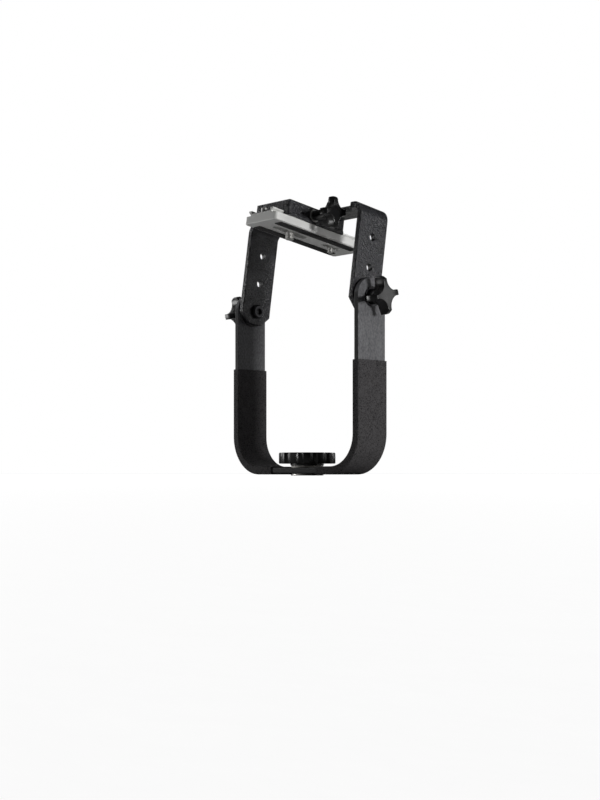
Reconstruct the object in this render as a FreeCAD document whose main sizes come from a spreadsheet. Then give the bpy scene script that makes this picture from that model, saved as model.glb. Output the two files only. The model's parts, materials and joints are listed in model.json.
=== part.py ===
"""Gimbal tripod head: two nested flat-bar frames, a rail clamp and a sliding lens plate.

Frame of the part: the origin is the centre of the bush's mounting face, +Z is up along the pan axis,
X is the tilt axis and +Y is the front of the lens.  The cradle and all that it carries are drawn in
the cradle's own frame (its origin on the tilt axis) and placed with the rest tilt.
"""
import FreeCAD
import Part
import Sketcher
import math
import os
import re

SIZES = {
    # base bush, washers and pan lock wheel
    "thread_radius": 3.97, "thread_depth": 16.0, "flange_radius": 18.5, "flange_thickness": 1.8,
    "base_washer_thickness": 0.6, "base_washer_inset": 0.5, "spigot_radius": 8.0, "journal_step": 1.0,
    "journal_gap": 0.2, "ring_gap": 1.0, "ring_thickness": 1.1, "ring_lip": 2.5, "ring_groove_depth": 0.8,
    "spigot_end": 1.1, "thrust_washer_radius": 18.0, "thrust_washer_thickness": 2.3,
    "wheel_boss_radius": 19.0, "wheel_boss_height": 2.2, "wheel_radius": 32.0, "wheel_height": 12.4,
    "wheel_recess_depth": 5.0, "wheel_recess_step": 1.0, "wheel_insert_wall": 3.5, "wheel_notch_depth": 2.6,
    "wheel_notch_radius": 4.6, "wheel_notches": 12, "wheel_edge": 1.2, "wheel_turn": 1.5,
    # outer frame
    "bar_width": 42.0, "bar_thickness": 6.5, "bar_edge": 0.7, "yoke_half_span": 102.0,
    "yoke_corner_radius": 43.0, "pivot_height": 190.0, "arm_end_flat": 0.5,
    "sleeve_thickness": 1.3, "sleeve_height": 122.0, "sleeve_inner_end": 36.0, "sleeve_edge": 0.8,
    # tilt pivots
    "bush_wall": 3.0, "stud_radius": 4.0, "stud_hole_gap": 0.2, "stud_head_radius": 8.0,
    "stud_head_thickness": 5.0, "stud_head_edge": 1.2, "stud_socket_radius": 3.4, "stud_socket_depth": 3.0,
    "stud_reach": 12.9, "pivot_washer_radius": 17.0, "pivot_washer_thickness": 2.0,
    "outer_washer_radius": 11.0, "outer_washer_thickness": 1.6, "tilt_angle": 8.5,
    # tilt knobs
    "tilt_knob_hub": 8.5, "tilt_knob_neck": 7.4, "tilt_knob_flare": 2.4, "tilt_knob_band": 7.0,
    "tilt_knob_crown": 5.6, "tilt_knob_tip": 20.6, "tilt_knob_front": 16.7, "tilt_knob_notch": 9.0,
    "tilt_knob_scallop": 13.0, "insert_wall": 2.0, "insert_length": 14.0, "knob_edge": 0.6,
    "knob_lobes": 4, "knob_turn": 22.5,
    # inner frame
    "cradle_top": 103.5, "cradle_corner_radius": 14.0, "cradle_drop": 15.0, "cradle_end_chamfer": 12.0,
    "hole_pitch": 33.5, "shoulder_half_span": 75.0, "waist_depth": 10.0, "shoulder_radius": 8.0,
    "mount_screw_spacing": 32.0, "mount_shank_radius": 3.0, "mount_head_radius": 5.0,
    "mount_head_height": 3.3, "mount_screw_floor": 1.2,
    # rail clamp
    "clamp_cheek": 8.5, "clamp_step": 0.8, "clamp_lip_height": 3.4, "clamp_roof": 8.5,
    "channel_depth": 3.5, "clamp_front": 18.0, "clamp_length": 85.0, "clamp_edge": 1.2, "screw_back": 29.0,
    "screw_rise": 3.3, "pad_half_length": 12.0, "pad_heel": 1.0, "pad_rise": 7.5, "pad_travel": 1.25,
    "pad_web": 1.5, "screw_float": 0.3, "clamp_wall": 2.5, "clamp_bush_radius": 5.0,
    "clamp_flange_radius": 7.0, "clamp_flange_thickness": 1.8, "clamp_screw_radius": 3.0,
    "clamp_knob_gap": 0.7, "clamp_knob_hub": 5.8, "clamp_knob_neck": 19.5, "clamp_knob_flare": 4.5,
    "clamp_knob_band": 6.0, "clamp_knob_crown": 3.0, "clamp_knob_tip": 17.2, "clamp_knob_front": 14.2,
    "clamp_knob_notch": 8.7, "clamp_knob_scallop": 10.5, "clamp_knob_turn": 10.0, "clamp_screw_grip": 22.0,
    # sliding plate
    "rail_half_width": 20.0, "rail_undercut": 3.5, "rail_lip": 1.3, "rail_neck_height": 0.8,
    "rail_flange": 4.5, "rail_channel_depth": 3.5,
    "plate_overhang": 6.0, "plate_web": 8.7, "plate_front": 57.0, "plate_length": 140.0,
    "plate_corner": 4.0, "plate_edge": 0.8, "recess_depth": 6.0, "recess_margin": 1.5,
    "recess_front_wall": 10.5, "recess_back_wall": 15.0, "pad_strip_width": 11.0,
    "pad_strip_centre": 17.5, "pad_strip_end": 11.0, "pad_strip_thickness": 1.7, "pad_strip_recess": 0.7,
    "quarter_radius": 3.175, "quarter_reach": 5.5, "quarter_slot": 20.0, "three_eighths_radius": 4.76,
    "three_eighths_reach": 7.0, "three_eighths_slot": 40.0, "slot_gap": 0.4, "neck_relief": 0.7,
    "screw_head_radius": 9.0, "screw_head_height": 4.0, "coin_slot_width": 1.8, "coin_slot_depth": 1.4,
    "clip_radius": 7.0, "clip_thickness": 0.8, "stop_inset": 5.0, "stop_head_radius": 3.5,
    "stop_proud_height": 2.6, "stop_shank_radius": 1.5, "stop_shank_length": 6.0, "screw_end": 0.5,
    # fits
    "running_clearance": 0.05, "loose_clearance": 0.3, "slide_clearance": 0.3, "pad_clearance": 0.15,
    "bed_clearance": 0.2, "screw_clearance": 0.1, "cut_past": 1.0,
}

# places of the pieces, as expressions of the driving sizes
BAR_UNDERSIDE = "(flange_thickness + base_washer_thickness)"
BAR_TOP = f"({BAR_UNDERSIDE} + bar_thickness)"
WHEEL_BOTTOM = f"({BAR_TOP} + thrust_washer_thickness)"
RIM_BOTTOM = f"({WHEEL_BOTTOM} + wheel_boss_height)"
WHEEL_TOP = f"({RIM_BOTTOM} + wheel_height)"
WHEEL_FLOOR = f"({WHEEL_TOP} - wheel_recess_depth)"
RING_SEAT = f"({WHEEL_FLOOR} + ring_gap)"
RING_TOP = f"({RING_SEAT} + ring_thickness)"
JOURNAL_RADIUS = "(spigot_radius + journal_step)"
GROOVE_RADIUS = "(spigot_radius - ring_groove_depth)"
WHEEL_INSERT_RADIUS = "(spigot_radius + wheel_insert_wall)"
PIVOT = f"({BAR_UNDERSIDE} + pivot_height)"
YOKE_INNER = "(yoke_half_span - bar_thickness)"
CRADLE_OUTER = f"({YOKE_INNER} - pivot_washer_thickness)"
CRADLE_INNER = f"({CRADLE_OUTER} - bar_thickness)"
KNOB_SEAT = "(yoke_half_span + outer_washer_thickness)"
BUSH_BORE = "(stud_radius + running_clearance)"
TONGUE_BOTTOM = "(cradle_top - bar_thickness)"
TONGUE_HALF_WIDTH = "(bar_width / 2 - waist_depth)"
CLAMP_HALF_WIDTH = "(rail_half_width + clamp_cheek)"
CLAMP_SIDE = f"({CLAMP_HALF_WIDTH} - clamp_step)"
CLAMP_BED = f"({TONGUE_BOTTOM} - clamp_roof)"
CLAMP_TOP = f"({TONGUE_BOTTOM} + channel_depth)"
RAIL_TOP = f"({CLAMP_BED} - bed_clearance)"
RAIL_SHOULDER = f"({RAIL_TOP} - rail_lip)"
RAIL_NECK = f"({RAIL_SHOULDER} - rail_undercut)"
PLATE_TOP = f"({RAIL_NECK} - rail_neck_height)"
PLATE_BOTTOM = f"({PLATE_TOP} - plate_web)"
PLATE_HALF_WIDTH = "(rail_half_width + plate_overhang)"
CHANNEL_HALF_WIDTH = "(rail_half_width - rail_flange)"
CHANNEL_FLOOR = f"({RAIL_TOP} - rail_channel_depth)"
CLAMP_BOTTOM = f"({PLATE_TOP} + slide_clearance)"
NECK_HALF_WIDTH = "(rail_half_width - rail_undercut)"
POCKET_OUTER = f"({CLAMP_SIDE} - clamp_wall)"
PAD_INNER = f"({NECK_HALF_WIDTH} - pad_heel)"
PAD_OUTER = f"({POCKET_OUTER} - pad_travel - pad_clearance)"
PAD_TOP = f"({CLAMP_BED} + pad_rise)"
SCREW_HEIGHT = f"({CLAMP_BED} + screw_rise)"
CLAMP_KNOB_SEAT = f"({CLAMP_SIDE} + clamp_flange_thickness + clamp_knob_gap)"
RECESS_FLOOR = f"({RAIL_TOP} - recess_depth)"
RECESS_HALF_WIDTH = "(screw_head_radius + recess_margin)"
RECESS_FRONT = f"(plate_front - recess_front_wall - {RECESS_HALF_WIDTH})"
RECESS_BACK = f"(plate_front - plate_length + recess_back_wall + {RECESS_HALF_WIDTH})"
STRIP_FACE = f"({PLATE_BOTTOM} + pad_strip_recess - pad_strip_thickness)"
SCREW_PLACE = {"quarter": f"({RECESS_FRONT} - quarter_slot / 2)",
               "three_eighths": f"({RECESS_BACK} + three_eighths_slot / 2)"}
STOP_PLACES = ("(plate_front - stop_inset)", "(plate_front - plate_length + stop_inset)")

NEAR = 1e-3   # two places closer than this, in mm, are one place

doc = FreeCAD.newDocument("GimbalHead")
sheet = doc.addObject("Spreadsheet::Sheet", "Sizes")
parts = {}


def fill_sheet():
    """Write every driving size into the sheet, one named cell each."""
    for row, (alias, size) in enumerate(SIZES.items(), start=1):
        sheet.set(f"A{row}", alias)
        sheet.set(f"B{row}", str(size))
        sheet.setAlias(f"B{row}", alias)
    doc.recompute()


def bound(expression):
    """Put the sheet's name before each alias of an expression."""
    return re.sub(r"[a-z_]+", lambda word: f"Sizes.{word[0]}" if word[0] in SIZES else word[0],
                  str(expression))


def value(expression):
    """Work out an expression of the sheet's sizes as a number."""
    return float(sheet.evalExpression(bound(expression)))


# ---------------------------------------------------------------- sketches and features

def new_body(name):
    """Start a sub-part, labelled with its node name."""
    body = doc.addObject("PartDesign::Body", name)
    body.Label = name
    parts[name] = body
    return body


def new_sketch(body, role, offset="0"):
    """Attach a sketch to one of the body's own origin planes, moved along its normal."""
    sketch = body.newObject("Sketcher::SketchObject", f"{body.Name}_sketch")
    plane = next(item for item in body.Origin.OriginFeatures if item.Role == role)
    sketch.AttachmentSupport = (plane, [""])
    sketch.MapMode = "FlatFace"
    sketch.setExpression("AttachmentOffset.Base.z", bound(offset))
    return sketch


def pin_point(sketch, geometry, point, x, y):
    """Hold one point of a sketch at two expressions."""
    for axis, expression in (("DistanceX", x), ("DistanceY", y)):
        index = sketch.addConstraint(Sketcher.Constraint(axis, geometry, point, value(expression)))
        sketch.setExpression(f"Constraints[{index}]", bound(expression))


def arc_between(start, end, radius, turn):
    """Arc shorter than half a circle from start to end; turn is 1 for anticlockwise."""
    middle = (start + end) * 0.5
    chord = end - start
    left = FreeCAD.Vector(-chord.y, chord.x, 0).normalize()
    centre = middle + left * (turn * math.sqrt(max(radius ** 2 - (chord.Length / 2) ** 2, 0.0)))
    first, last = (start, end) if turn > 0 else (end, start)
    angles = [math.atan2(point.y - centre.y, point.x - centre.x) for point in (first, last)]
    if angles[1] < angles[0]:
        angles[1] += 2 * math.pi
    return Part.ArcOfCircle(Part.Circle(centre, FreeCAD.Vector(0, 0, 1), radius), *angles)


def add_outline(sketch, corners):
    """Closed outline: each corner is (x, y), or (x, y, radius, turn) where an arc leaves it."""
    places = [FreeCAD.Vector(value(corner[0]), value(corner[1]), 0) for corner in corners]
    edges = []
    for index, corner in enumerate(corners):
        start, end = places[index], places[(index + 1) % len(corners)]
        if len(corner) == 2:
            edges.append((sketch.addGeometry(Part.LineSegment(start, end), False), 1, 2))
            continue
        radius, turn = corner[2:]
        geometry = sketch.addGeometry(arc_between(start, end, value(radius), turn), False)
        edges.append((geometry, 1, 2) if turn > 0 else (geometry, 2, 1))
    for index, (geometry, first, last) in enumerate(edges):
        following = edges[(index + 1) % len(edges)]
        sketch.addConstraint(Sketcher.Constraint("Coincident", geometry, last, following[0], following[1]))
        pin_point(sketch, geometry, first, *corners[index][:2])
        if len(corners[index]) > 2:
            radius = corners[index][2]
            held = sketch.addConstraint(Sketcher.Constraint("Radius", geometry, value(radius)))
            sketch.setExpression(f"Constraints[{held}]", bound(radius))


def add_circle(sketch, x, y, radius):
    """Circle held by its centre and radius."""
    centre = FreeCAD.Vector(value(x), value(y), 0)
    circle = Part.Circle(centre, FreeCAD.Vector(0, 0, 1), value(radius))
    geometry = sketch.addGeometry(circle, False)
    pin_point(sketch, geometry, 3, x, y)
    held = sketch.addConstraint(Sketcher.Constraint("Radius", geometry, value(radius)))
    sketch.setExpression(f"Constraints[{held}]", bound(radius))


def add_rectangle(sketch, low_x, low_y, high_x, high_y):
    """Rectangle between two corners."""
    add_outline(sketch, [(low_x, low_y), (high_x, low_y), (high_x, high_y), (low_x, high_y)])


def add_long_slot(sketch, x, low_y, high_y, radius):
    """Round-ended slot along the sketch's second axis; low_y and high_y are its end centres."""
    centres = [FreeCAD.Vector(value(x), value(y), 0) for y in (low_y, high_y)]
    right, left = f"({x}) + ({radius})", f"({x}) - ({radius})"
    half_circles = []
    for centre, start in zip(centres, (math.pi, 0.0)):
        circle = Part.Circle(centre, FreeCAD.Vector(0, 0, 1), value(radius))
        half_circles.append(sketch.addGeometry(Part.ArcOfCircle(circle, start, start + math.pi), False))
    low, high = half_circles
    corner = {name: FreeCAD.Vector(value(side), value(y), 0)
              for name, side, y in (("low_right", right, low_y), ("high_right", right, high_y),
                                    ("low_left", left, low_y), ("high_left", left, high_y))}
    up = sketch.addGeometry(Part.LineSegment(corner["low_right"], corner["high_right"]), False)
    down = sketch.addGeometry(Part.LineSegment(corner["high_left"], corner["low_left"]), False)
    for pair in ((low, 2, up, 1), (up, 2, high, 1), (high, 2, down, 1), (down, 2, low, 1)):
        sketch.addConstraint(Sketcher.Constraint("Coincident", *pair))
    for geometry, side, y in ((up, right, low_y), (down, left, high_y)):
        pin_point(sketch, geometry, 1, side, y)
    for geometry, side, y in ((up, right, high_y), (down, left, low_y)):
        pin_point(sketch, geometry, 2, side, y)
    for geometry, y in ((low, low_y), (high, high_y)):
        held = sketch.addConstraint(Sketcher.Constraint("DistanceY", geometry, 3, value(y)))
        sketch.setExpression(f"Constraints[{held}]", bound(y))


def check_body(body, step):
    """Stop at the step that spoils a body."""
    if not body.Shape.isValid() or len(body.Shape.Solids) != 1:
        raise RuntimeError(f"{body.Name}: {step} left no single valid solid")


def add_feature(body, kind, sketch, length=None, both_ways=False, through=False, flip=False):
    """Pad or Pocket of a sketch; it must change the body's volume the right way."""
    before = body.Shape.Volume if body.Tip else 0.0
    feature = body.newObject(f"PartDesign::{kind}", f"{body.Name}_{kind}")
    feature.Profile = sketch
    feature.SideType = "Symmetric" if both_ways else "One side"
    if through:
        feature.Type = "ThroughAll"
    else:
        feature.setExpression("Length", bound(length))
    feature.Reversed = flip
    doc.recompute()
    grown = body.Shape.Volume - before
    if (kind == "Pad") != (grown > 0) or abs(grown) < NEAR:
        raise RuntimeError(f"{body.Name}: {kind} changed the volume by {grown:.3f}")
    check_body(body, kind)
    return feature


def pad(body, sketch, length, **options):
    """Add a sketch's prism."""
    return add_feature(body, "Pad", sketch, length, **options)


def pocket(body, sketch, length=None, **options):
    """Cut a sketch's prism; with no length it goes through everything."""
    return add_feature(body, "Pocket", sketch, length, through=length is None, **options)


def revolve(body, corners):
    """Turn an outline of (radius, height) corners about the body's own Z axis."""
    sketch = new_sketch(body, "XZ_Plane")
    add_outline(sketch, corners)
    feature = body.newObject("PartDesign::Revolution", f"{body.Name}_Revolution")
    feature.Profile = sketch
    feature.ReferenceAxis = (sketch, ["V_Axis"])
    feature.Angle = 360
    doc.recompute()
    check_body(body, "Revolution")


def ring(name, inner, outer, low, high):
    """Plain ring about the body's own Z axis."""
    body = new_body(name)
    revolve(body, [(inner, low), (outer, low), (outer, high), (inner, high)])
    return body


def polar(body, feature, sketch, count):
    """Repeat a cut round the body's own Z axis."""
    pattern = body.newObject("PartDesign::PolarPattern", f"{body.Name}_pattern")
    pattern.Originals = [feature]
    pattern.Axis = (sketch, ["N_Axis"])
    pattern.Angle = 360
    pattern.setExpression("Occurrences", bound(count))
    body.Tip = pattern
    doc.recompute()
    check_body(body, "PolarPattern")


def edges_where(body, test):
    """Names of the body's edges that a test picks."""
    return [f"Edge{number}" for number, edge in enumerate(body.Shape.Edges, start=1) if test(edge)]


def soften(body, kind, size, test):
    """Fillet or chamfer the edges that a test picks."""
    feature = body.newObject(f"PartDesign::{kind}", f"{body.Name}_{kind}")
    feature.Base = (body.Tip if body.Tip != feature else body.Group[-2], edges_where(body, test))
    feature.setExpression("Radius" if kind == "Fillet" else "Size", bound(size))
    doc.recompute()
    check_body(body, kind)


def runs_along(edge, axis):
    """True for a straight edge parallel to an axis of the body."""
    if edge.Curve.TypeId != "Part::GeomLine":
        return False
    direction = edge.Curve.Direction
    return abs(abs(getattr(direction, axis)) - 1) < NEAR


def lies_at(edge, axis, place):
    """True for an edge whose every point is at one coordinate."""
    box = edge.BoundBox
    low, high = getattr(box, f"{axis.upper()}Min"), getattr(box, f"{axis.upper()}Max")
    return abs(low - place) < NEAR and abs(high - place) < NEAR


# ---------------------------------------------------------------- places

def cradle_frame():
    """The cradle's own frame: its origin on the tilt axis, leaning forward by the rest tilt."""
    lean = FreeCAD.Rotation(FreeCAD.Vector(1, 0, 0), -value("tilt_angle"))
    return FreeCAD.Placement(FreeCAD.Vector(0, 0, value(PIVOT)), lean)


def sideways(x, y, height, outward=1, turn=0.0):
    """Lay a piece's own Z axis along X (outward 1) or against it (-1), first turned about its axis."""
    swing = FreeCAD.Rotation(FreeCAD.Vector(0, 1, 0), 90.0 * outward)
    spin = FreeCAD.Rotation(FreeCAD.Vector(0, 0, 1), turn * outward)
    place = FreeCAD.Vector(outward * value(x), value(y), value(height))
    return FreeCAD.Placement(place, swing.multiply(spin))


SIDES = {"right": 1, "left": -1}


# ---------------------------------------------------------------- base and pan lock

def make_base_bush():
    """Flanged bush: the tripod thread below, a journal for the frame and a spigot for the wheel."""
    body = new_body("base_bush")
    journal_top = f"({WHEEL_BOTTOM} - journal_gap)"
    spigot_top = f"({RING_TOP} + spigot_end)"
    revolve(body, [
        ("thread_radius", "0"), ("flange_radius", "0"), ("flange_radius", "flange_thickness"),
        (JOURNAL_RADIUS, "flange_thickness"), (JOURNAL_RADIUS, journal_top),
        ("spigot_radius", journal_top), ("spigot_radius", RING_SEAT), (GROOVE_RADIUS, RING_SEAT),
        (GROOVE_RADIUS, RING_TOP), ("spigot_radius", RING_TOP), ("spigot_radius", spigot_top),
        ("0", spigot_top), ("0", "thread_depth"), ("thread_radius", "thread_depth")])


def make_pan_rings():
    """Washers above and below the frame's bar, the wheel's insert and the ring that keeps it on."""
    ring("base_friction_washer", f"{JOURNAL_RADIUS} + running_clearance",
         "flange_radius - base_washer_inset", "flange_thickness", BAR_UNDERSIDE)
    ring("pan_thrust_washer", f"{JOURNAL_RADIUS} + loose_clearance", "thrust_washer_radius",
         BAR_TOP, WHEEL_BOTTOM)
    ring("pan_wheel_insert", "spigot_radius + running_clearance", WHEEL_INSERT_RADIUS,
         WHEEL_BOTTOM, WHEEL_FLOOR)
    ring("pan_retaining_ring", GROOVE_RADIUS, "spigot_radius + ring_lip", RING_SEAT, RING_TOP)


def make_pan_lock_wheel():
    """Flat hand wheel with a shallow boss below and notches round its rim."""
    body = new_body("pan_lock_wheel")
    recess_radius = f"({WHEEL_INSERT_RADIUS} + wheel_recess_step)"
    revolve(body, [
        (WHEEL_INSERT_RADIUS, WHEEL_BOTTOM), ("wheel_boss_radius", WHEEL_BOTTOM),
        ("wheel_boss_radius", RIM_BOTTOM), ("wheel_radius", RIM_BOTTOM),
        ("wheel_radius", f"{WHEEL_TOP} - wheel_edge"),
        ("wheel_radius - wheel_edge", WHEEL_TOP), (recess_radius, WHEEL_TOP), (recess_radius, WHEEL_FLOOR),
        (WHEEL_INSERT_RADIUS, WHEEL_FLOOR)])
    sketch = new_sketch(body, "XY_Plane", WHEEL_TOP)
    add_circle(sketch, "wheel_radius - wheel_notch_depth + wheel_notch_radius", "0", "wheel_notch_radius")
    notch = pocket(body, sketch, "wheel_height")
    polar(body, notch, sketch, "wheel_notches")
    body.Placement = FreeCAD.Placement(FreeCAD.Vector(), FreeCAD.Rotation(value("wheel_turn"), 0, 0))


# ---------------------------------------------------------------- outer frame

def make_yoke_bar():
    """Bent flat bar: a U with large corners and round arm ends."""
    body = new_body("yoke_bar")
    corner = f"({BAR_UNDERSIDE} + yoke_corner_radius)"
    centre = "(yoke_half_span - yoke_corner_radius)"
    inner_radius = "(yoke_corner_radius - bar_thickness)"
    top = f"({PIVOT} + bar_width / 2)"
    sketch = new_sketch(body, "XZ_Plane")
    add_outline(sketch, [
        (f"-{centre}", BAR_UNDERSIDE), (centre, BAR_UNDERSIDE, "yoke_corner_radius", 1),
        ("yoke_half_span", corner), ("yoke_half_span", top), (YOKE_INNER, top),
        (YOKE_INNER, corner, inner_radius, -1), (centre, BAR_TOP),
        (f"-{centre}", BAR_TOP, inner_radius, -1), (f"-{YOKE_INNER}", corner), (f"-{YOKE_INNER}", top),
        ("-yoke_half_span", top), ("-yoke_half_span", corner, "yoke_corner_radius", 1)])
    pad(body, sketch, "bar_width", both_ways=True)
    soften(body, "Fillet", "bar_width / 2 - arm_end_flat",
           lambda edge: runs_along(edge, "x") and lies_at(edge, "z", value(top)))
    half_width = value("bar_width / 2")
    soften(body, "Chamfer", "bar_edge", lambda edge: lies_at(edge, "y", half_width)
           or lies_at(edge, "y", -half_width))
    pivots = new_sketch(body, "YZ_Plane")
    add_circle(pivots, "0", PIVOT, f"{BUSH_BORE} + bush_wall")
    pocket(body, pivots, both_ways=True)
    base = new_sketch(body, "XY_Plane")
    add_circle(base, "0", "0", f"{JOURNAL_RADIUS} + running_clearance")
    pocket(body, base, both_ways=True)


def sleeve_outline(body, cover, end_gap):
    """Outline that follows the bar round one bend, at a cover thickness outside the bar."""
    corner = f"({BAR_UNDERSIDE} + yoke_corner_radius)"
    centre = "(yoke_half_span - yoke_corner_radius)"
    outer_radius = f"(yoke_corner_radius + {cover})"
    inner_radius = f"(yoke_corner_radius - bar_thickness - {cover})"
    low, high = f"({BAR_UNDERSIDE} - {cover})", f"({BAR_TOP} + {cover})"
    outside, inside = f"(yoke_half_span + {cover})", f"({YOKE_INNER} - {cover})"
    end, top = f"(sleeve_inner_end - {end_gap})", f"({BAR_UNDERSIDE} + sleeve_height + {end_gap})"
    sketch = new_sketch(body, "XZ_Plane")
    add_outline(sketch, [
        (end, low), (centre, low, outer_radius, 1), (outside, corner), (outside, top), (inside, top),
        (inside, corner, inner_radius, -1), (centre, high), (end, high)])
    return sketch


def make_yoke_sleeve(side):
    """Rubber sleeve over one lower arm and bend, open at both ends."""
    body = new_body(f"yoke_sleeve_{side}")
    pad(body, sleeve_outline(body, "sleeve_thickness", "0"), "bar_width + 2 * sleeve_thickness",
        both_ways=True)
    half_width = value("bar_width / 2 + sleeve_thickness")
    soften(body, "Chamfer", "sleeve_edge", lambda edge: lies_at(edge, "y", half_width)
           or lies_at(edge, "y", -half_width))
    pocket(body, sleeve_outline(body, "0", "cut_past"), "bar_width", both_ways=True)
    if SIDES[side] < 0:
        body.Placement = FreeCAD.Placement(FreeCAD.Vector(), FreeCAD.Rotation(180, 0, 0))


# ---------------------------------------------------------------- tilt pivots

def make_tilt_stud(side):
    """Cap-headed stud: its head inside the cradle's arm, its thread in the knob."""
    body = new_body(f"tilt_stud_{side}")
    tip = f"({KNOB_SEAT} + stud_reach - {CRADLE_INNER})"
    socket_floor = "(stud_socket_depth - stud_head_thickness)"
    revolve(body, [
        ("0", socket_floor), ("stud_socket_radius", socket_floor),
        ("stud_socket_radius", "-stud_head_thickness"),
        ("stud_head_radius - stud_head_edge", "-stud_head_thickness"),
        ("stud_head_radius", "stud_head_edge - stud_head_thickness"), ("stud_head_radius", "0"),
        ("stud_radius", "0"), ("stud_radius", tip), ("0", tip)])
    body.Placement = cradle_frame() * sideways(CRADLE_INNER, "0", "0", SIDES[side])


def make_pivot_rings(side):
    """Bush in the outer frame's arm and the washers on both of its faces."""
    for name, inner, outer, place, thickness in (
            ("yoke_pivot_bush", BUSH_BORE, f"{BUSH_BORE} + bush_wall", YOKE_INNER, "bar_thickness"),
            ("tilt_friction_washer", "stud_radius + loose_clearance", "pivot_washer_radius",
             CRADLE_OUTER, "pivot_washer_thickness"),
            ("tilt_outer_washer", "stud_radius + loose_clearance", "outer_washer_radius",
             "yoke_half_span", "outer_washer_thickness")):
        body = ring(f"{name}_{side}", inner, outer, "0", thickness)
        body.Placement = sideways(place, "0", PIVOT, SIDES[side])


def make_knob(name, kind, bore, depth, placement):
    """Lobed knob: a turned blank with a flared crown, scalloped all round."""
    body = new_body(name)
    neck, flare, band, crown = (f"{kind}_{word}" for word in ("neck", "flare", "band", "crown"))
    band_low = f"({neck} + {flare})"
    band_high = f"({band_low} + {band})"
    front = f"({band_high} + {crown})"
    revolve(body, [
        (bore, "0"), (f"{kind}_hub", "0"), (f"{kind}_hub", neck), (f"{kind}_tip", band_low),
        (f"{kind}_tip", band_high), (f"{kind}_front", front), ("0", front), ("0", depth), (bore, depth)])
    sketch = new_sketch(body, "XY_Plane", front)
    add_circle(sketch, f"{kind}_notch + {kind}_scallop", "0", f"{kind}_scallop")
    scallop = pocket(body, sketch, f"{flare} + {band} + {crown}")
    polar(body, scallop, sketch, "knob_lobes")
    rim, face = value(f"{kind}_tip - knob_edge"), value(front)
    soften(body, "Chamfer", "knob_edge", lambda edge: lies_at(edge, "z", face) or (
        runs_along(edge, "z") and math.hypot(edge.BoundBox.Center.x, edge.BoundBox.Center.y) > rim))
    body.Placement = placement


def make_tilt_knob(side):
    """Knob that clamps one pivot, with its threaded insert."""
    bore = f"({BUSH_BORE} + insert_wall)"
    half_pitch = value("180 / knob_lobes")
    seat = sideways(KNOB_SEAT, "0", "0", SIDES[side], value("knob_turn") + half_pitch)
    make_knob(f"tilt_knob_{side}", "tilt_knob", bore, "insert_length", cradle_frame() * seat)
    insert = ring(f"tilt_knob_insert_{side}", BUSH_BORE, bore, "0", "insert_length")
    insert.Placement = cradle_frame() * seat


# ---------------------------------------------------------------- inner frame

def make_cradle_bar():
    """Bent flat bar: an upside-down U with a waisted crosspiece and spare pivot holes."""
    body = new_body("cradle_bar")
    bend = "(cradle_top - cradle_corner_radius)"
    centre = f"({CRADLE_OUTER} - cradle_corner_radius)"
    inner_radius = "(cradle_corner_radius - bar_thickness)"
    sketch = new_sketch(body, "XZ_Plane")
    add_outline(sketch, [
        (f"-{CRADLE_OUTER}", "-cradle_drop"), (f"-{CRADLE_INNER}", "-cradle_drop"),
        (f"-{CRADLE_INNER}", bend, inner_radius, -1), (f"-{centre}", TONGUE_BOTTOM),
        (centre, TONGUE_BOTTOM, inner_radius, -1), (CRADLE_INNER, bend), (CRADLE_INNER, "-cradle_drop"),
        (CRADLE_OUTER, "-cradle_drop"), (CRADLE_OUTER, bend, "cradle_corner_radius", 1),
        (centre, "cradle_top"), (f"-{centre}", "cradle_top", "cradle_corner_radius", 1),
        (f"-{CRADLE_OUTER}", bend)])
    pad(body, sketch, "bar_width", both_ways=True)
    soften(body, "Chamfer", "cradle_end_chamfer",
           lambda edge: runs_along(edge, "x") and lies_at(edge, "z", -value("cradle_drop")))
    half_width = value("bar_width / 2")
    soften(body, "Chamfer", "bar_edge", lambda edge: lies_at(edge, "y", half_width)
           or lies_at(edge, "y", -half_width))
    waist = new_sketch(body, "XY_Plane", "cradle_top + cut_past")
    for sign in (1, -1):
        inside, outside = f"({sign} * {TONGUE_HALF_WIDTH})", f"({sign} * (bar_width / 2 + cut_past))"
        shoulder = f"({sign} * ({TONGUE_HALF_WIDTH} + shoulder_radius))"
        run = "(shoulder_half_span - shoulder_radius)"
        add_outline(waist, [
            ("-shoulder_half_span", outside), ("-shoulder_half_span", shoulder, "shoulder_radius", sign),
            (f"-{run}", inside), (run, inside, "shoulder_radius", sign),
            ("shoulder_half_span", shoulder), ("shoulder_half_span", outside)])
    pocket(body, waist, "bar_thickness + 2 * cut_past")
    pivots = new_sketch(body, "YZ_Plane")
    for step in range(3):
        add_circle(pivots, "0", f"{step} * hole_pitch", "stud_radius + stud_hole_gap")
    pocket(body, pivots, both_ways=True)
    for radius, depth in (("mount_shank_radius", "bar_thickness"),
                          ("mount_head_radius", "mount_head_height")):
        holes = new_sketch(body, "XY_Plane", "cradle_top")
        for sign in (1, -1):
            add_circle(holes, f"{sign} * mount_screw_spacing / 2", "0", f"{radius} + screw_clearance")
        pocket(body, holes, depth)
    body.Placement = cradle_frame()


# ---------------------------------------------------------------- rail clamp

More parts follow.
